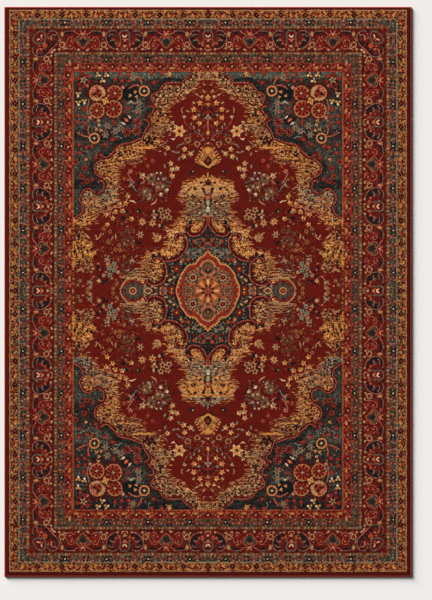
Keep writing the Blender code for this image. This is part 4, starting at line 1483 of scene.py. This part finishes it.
class Shader:
    """A material under construction. Its noises' scales are in features per metre."""

    def __init__(self, name, roughness, gloss, sheen=0.0):
        self.material = bpy.data.materials.new(name)
        self.material.use_nodes = True
        self.tree = self.material.node_tree
        self.surface = self.tree.nodes["Principled BSDF"]
        for socket, value in (
            ("Roughness", roughness), ("Specular IOR Level", gloss), ("Sheen Weight", sheen),
        ):
            self.surface.inputs[socket].default_value = value
        self.place = self.tree.nodes.new("ShaderNodeTexCoord").outputs["Object"]
        self.x, self.y, self.z = self.add("ShaderNodeSeparateXYZ", {0: self.place}).outputs

    def add(self, kind, inputs, **settings):
        node = self.tree.nodes.new(kind)
        for setting, value in settings.items():
            setattr(node, setting, value)
        for socket, value in inputs.items():
            if isinstance(value, bpy.types.NodeSocket):
                self.tree.links.new(value, node.inputs[socket])
            else:
                node.inputs[socket].default_value = value
        return node

    def math(self, operation, *values):
        return self.add("ShaderNodeMath", dict(enumerate(values)), operation=operation).outputs[0]

    def times(self, *values):
        product = values[0]
        for value in values[1:]:
            product = self.math("MULTIPLY", product, value)
        return product

    def plus(self, *values):
        total = values[0]
        for value in values[1:]:
            total = self.math("ADD", total, value)
        return total

    def vector_math(self, operation, *values):
        return self.add("ShaderNodeVectorMath", dict(enumerate(values)), operation=operation).outputs[0]

    def noise(self, scale, detail=2.0, place=None):
        inputs = {"Vector": place or self.place, "Scale": scale, "Detail": detail}
        return self.add("ShaderNodeTexNoise", inputs).outputs["Fac"]

    def cell_tone(self, place, low, high):
        """A brightness of its own, from low to high, for every whole-numbered place."""
        number = self.add("ShaderNodeTexWhiteNoise", {"Vector": place}).outputs["Value"]
        return self.between(number, low, high)

    def between(self, value, low, high):
        """Spread a value from 0 to 1 over low to high."""
        return self.add(
            "ShaderNodeMapRange", {"Value": value, "To Min": low, "To Max": high},
        ).outputs["Result"]

    def window(self, value, low, high):
        """0 below low, 1 above high."""
        inputs = {"Value": value, "From Min": low, "From Max": high}
        return self.add("ShaderNodeMapRange", inputs).outputs["Result"]

    def vector(self, x, y):
        return self.add("ShaderNodeCombineXYZ", {0: x, 1: y}).outputs[0]

    def cell(self, value, pitch):
        """The whole number of the stretch that a coordinate lies in."""
        return self.math("FLOOR", self.math("DIVIDE", value, pitch))

    def mix(self, share, first, second):
        return self.add("ShaderNodeMix", {0: share, 6: first, 7: second}, data_type="RGBA").outputs[2]

    def mottled(self, scale, detail, first, second):
        """Two display colours, mixed by a noise."""
        return self.mix(self.noise(scale, detail), linear(first), linear(second))

    def shade(self, color, brightness):
        """Multiply a colour by a number."""
        return self.add("ShaderNodeVectorMath", {0: color, "Scale": brightness}, operation="SCALE").outputs[0]

    def ridge(self, value, pitch):
        """Rounded ridges across a coordinate: 1 on each crest, 0 in each groove."""
        return self.math("ABSOLUTE", self.math("SINE", self.times(value, math.pi / pitch)))

    def finish(self, color, height, depth, strength=1.0):
        """Join the colour and the relief to the surface. depth is the relief's full height in metres."""
        bump = self.add("ShaderNodeBump", {"Height": height, "Distance": depth, "Strength": strength})
        self.tree.links.new(bump.outputs[0], self.surface.inputs["Normal"])
        self.tree.links.new(color, self.surface.inputs["Base Color"])
        return self.material


def knot_code(shader, across, along):
    """The code of the yarn under a point, unpacked from its face's colour attribute."""
    stray = shader.between(shader.noise(900.0, 1.0), -0.10, 0.10)
    parts = []
    for value in (across, along):
        share = shader.plus(shader.math("FRACT", value), stray)
        share = shader.math("MINIMUM", shader.math("MAXIMUM", share, 0.001), 0.999)
        parts.append(shader.math("FLOOR", shader.times(share, KNOTS_PER_FACE)))
    column, row = parts
    knots = shader.add("ShaderNodeAttribute", {}, attribute_name="knots", attribute_type="GEOMETRY")
    channels = shader.add("ShaderNodeSeparateColor", {0: knots.outputs["Color"]}).outputs
    word = 0.0
    for index, channel in enumerate([*channels, knots.outputs["Alpha"]]):
        chosen = shader.math("COMPARE", row, float(index), 0.1)
        word = shader.plus(word, shader.times(channel, chosen))
    power = shader.math("POWER", CODE_BASE, shader.math("SUBTRACT", KNOTS_PER_FACE - 1.0, column))
    digits = shader.math("FLOOR", shader.math("DIVIDE", word, power))
    return shader.math("FLOORED_MODULO", digits, CODE_BASE)


def yarn_color(shader, code):
    """The dyed yarn's colour for a code."""
    place = shader.math("DIVIDE", shader.plus(code, 0.5), CODE_BASE)
    ramp = shader.add("ShaderNodeValToRGB", {0: place})
    stops = ramp.color_ramp
    stops.interpolation = "CONSTANT"
    for index, color in enumerate(YARNS.values()):
        position = index / CODE_BASE
        stop = stops.elements[index] if index < 2 else stops.elements.new(position)
        stop.position = position
        stop.color = linear(color)
    return ramp.outputs[0]


def pile_material(face_width, face_length):
    """Cut wool pile. Each face's colour attribute holds the yarns of its four by four knots."""
    shader = Shader("wool_pile", 0.95, 0.06, sheen=0.02)
    across = shader.math("DIVIDE", shader.x, face_width)
    along = shader.math("DIVIDE", shader.y, face_length)
    color = yarn_color(shader, knot_code(shader, across, along))
    knot_column = shader.math("FLOOR", shader.times(across, KNOTS_PER_FACE))
    knot_row = shader.math("FLOOR", shader.times(along, KNOTS_PER_FACE))
    clumps = shader.vector_math("MULTIPLY", shader.place, (180.0, 180.0, 1.0))
    clumps = shader.vector_math("FLOOR", clumps)
    streaks = shader.vector_math("MULTIPLY", shader.place, (5.0, 80.0, 1.0))
    tone = shader.times(
        shader.cell_tone(shader.vector(knot_column, knot_row), 0.80, 1.20),
        shader.cell_tone(clumps, 0.76, 1.24),
        shader.cell_tone(shader.vector(0.0, knot_row), 0.95, 1.05),
        shader.between(shader.noise(1.0, 3.0, streaks), 0.72, 1.28),
        shader.between(shader.noise(1500.0), 0.80, 1.20),
        # Painted shade: the pile is darkened to 0.92 towards its -y end and lifted to 1.03 towards its +y
        # end, an uneven light painted along the rug.
        shader.between(shader.window(shader.y, -PILE_HIGH.y, PILE_HIGH.y), 0.92, 1.03),
    )
    rows = shader.ridge(shader.y, face_length / KNOTS_PER_FACE)
    tufts = shader.times(shader.ridge(shader.x, face_width / KNOTS_PER_FACE), rows)
    height = shader.plus(
        shader.times(tufts, 0.35), shader.times(rows, 0.3), shader.times(shader.noise(1200.0, 3.0), 0.35)
    )
    return shader.finish(shader.shade(color, tone), height, 0.0005, 0.4)


def serging_material(name):
    """Thick red wool yarn, twisted, wound round the edge."""
    shader = Shader(name, 0.9, 0.1)
    color = shader.mottled(260.0, 3.0, (118, 34, 23), (150, 52, 38))
    color = shader.shade(color, shader.between(shader.noise(35.0), 0.85, 1.15))
    twist = shader.ridge(shader.plus(shader.x, shader.plus(shader.y, shader.z)), 0.0011)
    height = shader.plus(shader.times(twist, 0.6), shader.times(shader.noise(1400.0, 3.0), 0.4))
    return shader.finish(color, height, 0.0003, 0.6)


def yarn_material(name, light, dark, pitch, along_x):
    """A layer of undyed yarns side by side, along x or along y."""
    shader = Shader(name, 0.9, 0.2)
    across, along = (shader.y, shader.x) if along_x else (shader.x, shader.y)
    tone = shader.cell_tone(shader.vector(shader.cell(across, pitch), 0.0), 0.8, 1.15)
    color = shader.shade(shader.mottled(400.0, 3.0, dark, light), tone)
    twist = shader.ridge(shader.plus(along, across), pitch / 2)
    height = shader.plus(shader.ridge(across, pitch), shader.times(twist, 0.3))
    return shader.finish(color, height, pitch / 4)


def back_material():
    """The woven back: jute ribs and dyed wool showing through a thin coat of latex."""
    shader = Shader("latex_back", 0.62, 0.35)
    ribs = shader.vector(shader.cell(shader.x, STRAND_PITCH), shader.cell(shader.y, RIB_PITCH))
    jute = shader.mottled(300.0, 4.0, (150, 122, 88), (196, 172, 134))
    wool = shader.mottled(9.0, 2.0, (112, 40, 32), (120, 96, 66))
    patches = shader.window(shader.noise(16.0, 4.0), 0.46, 0.60)
    color = shader.mix(shader.times(patches, 0.45), jute, wool)
    color = shader.shade(color, shader.cell_tone(ribs, 0.72, 1.12))
    coat = shader.window(shader.noise(55.0, 5.0), 0.50, 0.68)
    color = shader.mix(shader.times(coat, 0.5), color, linear((226, 216, 190)))
    weave = shader.times(shader.ridge(shader.x, STRAND_PITCH), 0.4)
    height = shader.plus(weave, shader.times(shader.noise(500.0, 3.0), 0.5))
    return shader.finish(color, height, 0.0004, 0.7)


def label_material():
    """White satin with its fine warp lines."""
    shader = Shader("label_satin", 0.38, 0.5, sheen=0.2)
    color = shader.mottled(120.0, 2.0, (226, 222, 212), (238, 236, 230))
    return shader.finish(color, shader.ridge(shader.x, 0.0004), 0.00008, 0.5)


def thread_material():
    """White polyester sewing thread."""
    shader = Shader("label_thread", 0.45, 0.5)
    color = shader.mottled(800.0, 2.0, (205, 200, 190), (228, 225, 216))
    return shader.finish(color, shader.ridge(shader.plus(shader.x, shader.y), 0.0003), 0.0001, 0.6)


def floor_material():
    """A plain pale floor, with the faintest mottling."""
    shader = Shader("floor", 0.9, 0.1)
    color = shader.mottled(3.0, 2.0, (238, 234, 231), (240, 236, 233))
    return shader.finish(color, shader.noise(40.0, 2.0), 0.0001, 0.1)


# ---------------------------------------------------------------------------------------------
# Pieces
# ---------------------------------------------------------------------------------------------


def finish_piece(piece, node):
    """Attach a piece to the root body and hide the CAD part that it replaces."""
    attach(piece, "root")
    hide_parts(node)


def add_piece(mesh, material):
    """A new object for a finished mesh."""
    mesh.materials.append(material)
    mesh.shade_smooth()
    piece = bpy.data.objects.new(mesh.name, mesh)
    bpy.context.scene.collection.objects.link(piece)
    return piece


def mesh_piece(name, points, faces, material):
    """A new object from arrays of points and faces."""
    mesh = bpy.data.meshes.new(name)
    mesh.from_pydata([tuple(point) for point in points], [], [tuple(face) for face in faces])
    mesh.validate()
    return add_piece(mesh, material)


def surface(x, y, z):
    """A list of points from the grids of their three coordinates."""
    return np.stack([x, y, z], axis=-1).reshape(-1, 3)


def grid_faces(rows, columns):
    """The four-cornered faces of a grid of points, rows by columns."""
    here = np.arange(rows - 1)[:, None] * columns + np.arange(columns - 1)[None, :]
    return np.stack([here, here + 1, here + columns + 1, here + columns], axis=-1).reshape(-1, 4)


def grid_border(rows, columns):
    """The points round a grid, anticlockwise from its first one."""
    bottom = np.arange(columns)
    right = np.arange(1, rows) * columns + columns - 1
    top = rows * columns - 2 - np.arange(columns - 1)
    left = np.arange(rows - 2, 0, -1) * columns
    return np.concatenate([bottom, right, top, left])


def band_faces(upper, lower):
    """The faces between two closed rings of points."""
    return np.stack([lower, np.roll(lower, -1), np.roll(upper, -1), upper], axis=-1)


def gentle_wave(x, y):
    """The pile's height varies a little over the rug."""
    return PILE_WAVE * (np.sin(7.3 * x + 1.1) * np.sin(5.9 * y + 0.4) + 0.6 * np.sin(17.0 * x - 11.0 * y))


def pack_knots(knots):
    """Four channels for each face: one for each row of its knots, with a digit for each knot's yarn."""
    blocks = knots.reshape(FACES_ALONG, KNOTS_PER_FACE, FACES_ACROSS, KNOTS_PER_FACE)
    places = CODE_BASE ** np.arange(KNOTS_PER_FACE - 1, -1, -1)
    words = (blocks * places).sum(axis=3)
    return words.transpose(0, 2, 1).reshape(-1, KNOTS_PER_FACE)


def weave_pattern(half_width, half_length):
    """The yarns of every face of the pile. A metre is 100 of the pattern's centimetres."""
    knot = 200 * half_width / (FACES_ACROSS * KNOTS_PER_FACE)
    draft = Draft(100 * half_width, 100 * (half_length + PATTERN_SHIFT), knot)
    draw_quarter(draft)
    rows = FACES_ALONG * KNOTS_PER_FACE
    columns = FACES_ACROSS * KNOTS_PER_FACE
    return pack_knots(unfold(draft, rows, columns, 100 * PATTERN_SHIFT))


def pile_side(points, half_width, half_length):
    """A rounded side that goes down from the border of the pile's top: its points and its faces."""
    border = grid_border(FACES_ALONG + 1, FACES_ACROSS + 1)
    start = points[border]
    outward = np.sign(start[:, :2]) * (np.abs(start[:, :2]) >= np.array([half_width, half_length]) - 1e-6)
    rings = []
    faces = []
    upper = border
    for angle, drop in ((30, None), (60, None), (90, None), (90, PILE_SIDE_DEPTH)):
        lean = math.radians(angle)
        ring = start.copy()
        ring[:, :2] += outward * PILE_ROUNDING * math.sin(lean)
        ring[:, 2] -= PILE_ROUNDING * (1 - math.cos(lean)) if drop is None else drop
        lower = len(points) + len(rings) * len(border) + np.arange(len(border))
        faces.append(band_faces(upper, lower))
        rings.append(ring)
        upper = lower
    return rings, faces


def make_pile():
    """The pile: a flat grid with the pattern on it, and its rounded side."""
    half_width = PILE_HIGH.x - PILE_ROUNDING
    half_length = PILE_HIGH.y - PILE_ROUNDING
    x, y = np.meshgrid(
        np.linspace(-half_width, half_width, FACES_ACROSS + 1),
        np.linspace(-half_length, half_length, FACES_ALONG + 1),
    )
    points = surface(x, y, PILE_HIGH.z - PILE_WAVE_ROOM + gentle_wave(x, y))
    faces = grid_faces(FACES_ALONG + 1, FACES_ACROSS + 1)
    rings, side_faces = pile_side(points, half_width, half_length)
    points = np.concatenate([points, *rings])
    faces = np.concatenate([faces, *side_faces])
    material = pile_material(2 * half_width / FACES_ACROSS, 2 * half_length / FACES_ALONG)
    piece = mesh_piece("wool_pile", points, faces, material)
    words = np.zeros((len(faces), KNOTS_PER_FACE), np.float32)
    words[: FACES_ALONG * FACES_ACROSS] = weave_pattern(half_width, half_length)
    attribute = piece.data.attributes.new("knots", "FLOAT_COLOR", "FACE")
    attribute.data.foreach_set("color", words.ravel())
    finish_piece(piece, "pile")
    return piece


def make_serging(name, node, length, offset, turn, material):
    """Yarn wound round one edge. It is made along x, with the rug's middle towards +y, and then turned."""
    angles = np.radians(np.linspace(WRAP_REACH, -WRAP_REACH, WRAP_POINTS))[None, :]
    wraps = round(length / WRAP_PITCH)
    steps = np.arange(3 * wraps + 1)[:, None] / (3 * wraps)
    along = (steps - 0.5) * length
    yarn = np.floor(wraps * steps - 1e-9)
    crest = np.abs(np.sin(math.pi * wraps * steps))
    crest = crest * (1 - WRAP_VARIATION * np.abs(np.sin(yarn * 12.9898)))
    radius = SERGING_RADIUS - WRAP_RELIEF * (1 - crest)
    inward = SERGING_RADIUS - radius * np.cos(angles)
    height = SERGING_RADIUS + radius * np.sin(angles)
    slant = WRAP_SLANT * angles / math.pi
    free = np.clip((length / 2 - np.abs(along)) / FAN_LENGTH, 0, 1)
    fan = (1 - free) ** 2
    x = along + slant * (1 - fan) - np.sign(along) * (inward + MITRE_GAP) * fan
    points = surface(x, inward - offset, height)
    spin = np.array([[turn.real, -turn.imag], [turn.imag, turn.real]])
    points[:, :2] = points[:, :2] @ spin.T
    piece = mesh_piece(name, points, grid_faces(*x.shape), material)
    finish_piece(piece, node)


def make_all_serging():
    """The four wound edges."""
    width = RUG_HIGH.x - RUG_LOW.x
    length = RUG_HIGH.y - RUG_LOW.y
    material = serging_material("serging_yarn")
    make_serging("bottom_wrapping", "bottom_serging", width, length / 2, 1 + 0j, material)
    make_serging("top_wrapping", "top_serging", width, length / 2, -1 + 0j, material)
    make_serging("right_wrapping", "right_serging", length, width / 2, 0 + 1j, material)
    make_serging("left_wrapping", "left_serging", length, width / 2, 0 - 1j, material)


def assign(nodes, material):
    """Give carried-over CAD nodes a material."""
    for name in nodes:
        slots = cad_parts[name].data.materials
        slots.clear()
        slots.append(material)


def raise_rim(points, ring, height):
    """A wall from a closed ring of points straight up to a height: all the points, and the wall's faces."""
    raised = points[ring]
    raised[:, 2] = height
    upper = len(points) + np.arange(len(ring))
    return np.concatenate([points, raised]), band_faces(upper, ring)


def make_back():
    """The woven back under its thin coat: ribs across the rug, with an opening where the label is sewn on."""
    low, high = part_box("back_sizing")
    (left, right), (lower, upper) = [
        (middle - size / 2, middle + size / 2) for middle, size in zip(LABEL_CENTER, WINDOW_SIZE)
    ]
    ribs = round((high.y - low.y) / RIB_PITCH)
    ys = np.linspace(low.y, high.y, 4 * ribs + 1)
    first_row, last_row = (np.argmin(np.abs(ys - edge)) for edge in (lower, upper))
    ys[[first_row, last_row]] = lower, upper
    xs = np.concatenate([np.linspace(low.x, left, 25), np.linspace(right, high.x, 3)])
    first_column = np.searchsorted(xs, left)
    x, y = np.meshgrid(xs, ys)
    crest = np.abs(np.sin(math.pi / 4 * np.arange(len(ys))))[:, None]
    sway = BACK_SWAY * np.sin(23.0 * x + 3.0 * np.sin(9.0 * y))
    points = surface(x, y, low.z + BACK_SWAY_ROOM + RIB_DEPTH * (1 - crest) + sway)
    faces = grid_faces(len(ys), len(xs))[:, ::-1]
    faces = np.delete(faces, np.arange(first_row, last_row) * (len(xs) - 1) + first_column, axis=0)
    window = grid_border(last_row - first_row + 1, 2)
    window = (first_row + window // 2) * len(xs) + first_column + window % 2
    points, outer_wall = raise_rim(points, grid_border(len(ys), len(xs)), high.z)
    points, inner_wall = raise_rim(points, window[::-1], high.z)
    piece = mesh_piece("woven_back", points, np.concatenate([faces, outer_wall, inner_wall]), back_material())
    finish_piece(piece, "back_sizing")


def make_label():
    """The satin label: a slightly rippled strip with folded ends."""
    low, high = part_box("care_label")
    columns, rows = 17, 41
    u, v = np.meshgrid(np.linspace(-1, 1, columns), np.linspace(-1, 1, rows))
    x = (low.x + high.x) / 2 + u * (high.x - low.x) / 2
    y = (low.y + high.y) / 2 + v * (high.y - low.y) / 2
    fold = np.where(np.abs(v) > LABEL_FOLD_START, LABEL_FOLD, 0.0)
    bottom = low.z + LABEL_CLEARANCE - fold + LABEL_RIPPLE * np.sin(9 * u + 4 * v)
    top = bottom + LABEL_THICKNESS + 2 * fold
    points = np.concatenate([surface(x, y, bottom), surface(x, y, top)])
    faces = grid_faces(rows, columns)
    border = grid_border(rows, columns)
    upper = rows * columns
    faces = np.concatenate([faces[:, ::-1], faces + upper, band_faces(border + upper, border)])
    piece = mesh_piece("satin_label", points, faces, label_material())
    finish_piece(piece, "care_label")


def make_stitches():
    """The stitches that hold the label: short rounded threads on a rectangle inside its edge."""
    low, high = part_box("label_thread")
    middle = ((low.x + high.x) / 2, (low.y + high.y) / 2, low.z + STITCH_SIZE[2])
    half_x = (high.x - low.x) / 2 - STITCH_SIZE[1]
    half_y = (high.y - low.y) / 2 - STITCH_SIZE[1]
    places = []
    for side in (-1, 1):
        for step in range(round(2 * half_y / STITCH_PITCH)):
            places.append((side * half_x, -half_y + (step + 0.5) * STITCH_PITCH, math.pi / 2))
        for step in range(round(2 * half_x / STITCH_PITCH)):
            places.append((-half_x + (step + 0.5) * STITCH_PITCH, side * half_y, 0.0))
    net = bmesh.new()
    shape = mathutils.Matrix.Diagonal((*STITCH_SIZE, 1.0))
    for x, y, turn in places:
        place = mathutils.Matrix.Translation((middle[0] + x, middle[1] + y, middle[2]))
        matrix = place @ mathutils.Matrix.Rotation(turn, 4, "Z") @ shape
        bmesh.ops.create_icosphere(net, subdivisions=2, radius=1.0, matrix=matrix)
    mesh = bpy.data.meshes.new("label_stitches")
    net.to_mesh(mesh)
    net.free()
    finish_piece(add_piece(mesh, thread_material()), "label_thread")


# ---------------------------------------------------------------------------------------------
# The stage
# ---------------------------------------------------------------------------------------------

WORLD_COLOR = (0.97, 0.98, 1.0, 1.0)
WORLD_STRENGTH = 0.13
SUN_COLOR = (1.0, 0.992, 0.985)
SUN_STRENGTH = 9.55
SUN_SPREAD = 30
SUN_TURNS = (0, -73, -45)


def make_floor():
    bpy.ops.mesh.primitive_plane_add(size=FLOOR_SIZE, location=(0, 0, -FLOOR_CLEARANCE))
    floor = bpy.context.object
    floor.name = "floor"
    floor.data.materials.append(floor_material())


def make_lights():
    """A broad key light from the upper left, and a weak even light from all round."""
    world = bpy.data.worlds.new("studio")
    bpy.context.scene.world = world
    world.use_nodes = True
    background = world.node_tree.nodes["Background"]
    background.inputs["Color"].default_value = WORLD_COLOR
    background.inputs["Strength"].default_value = WORLD_STRENGTH
    sun = bpy.data.lights.new("key", "SUN")
    sun.energy = SUN_STRENGTH
    sun.angle = math.radians(SUN_SPREAD)
    sun.color = SUN_COLOR
    lamp = bpy.data.objects.new("key", sun)
    lamp.rotation_euler = [math.radians(turn) for turn in SUN_TURNS]
    bpy.context.scene.collection.objects.link(lamp)


def make_camera():
    """Straight above the rug, through a long lens."""
    camera = bpy.data.cameras.new("camera")
    camera.sensor_fit = "VERTICAL"
    camera.sensor_height = SENSOR_HEIGHT
    camera.lens = CAMERA_LENS
    camera.clip_end = 100.0
    holder = bpy.data.objects.new("camera", camera)
    distance = CAMERA_FRAME_HEIGHT * CAMERA_LENS / SENSOR_HEIGHT
    holder.location = (*CAMERA_OFFSET, PILE_HIGH.z + distance)
    bpy.context.scene.collection.objects.link(holder)
    bpy.context.scene.camera = holder


def main():
    bpy.context.scene.view_settings.view_transform = "Standard"
    make_camera()
    make_floor()
    make_lights()
    pile = make_pile()
    make_all_serging()
    cotton = yarn_material("cotton_weft", (206, 196, 172), (170, 158, 132), WEFT_PITCH, True)
    jute = yarn_material("jute_warp", (186, 156, 112), (132, 104, 70), WARP_PITCH, False)
    cord = yarn_material("cotton_cord", (214, 206, 188), (180, 170, 148), CORD_PITCH, True)
    assign(["upper_weft", "lower_weft"], cotton)
    assign(["stuffer_warp"], jute)
    assign([side + "_edge_cord" for side in ("right", "top", "left", "bottom")], cord)
    make_back()
    make_label()
    make_stitches()


main()
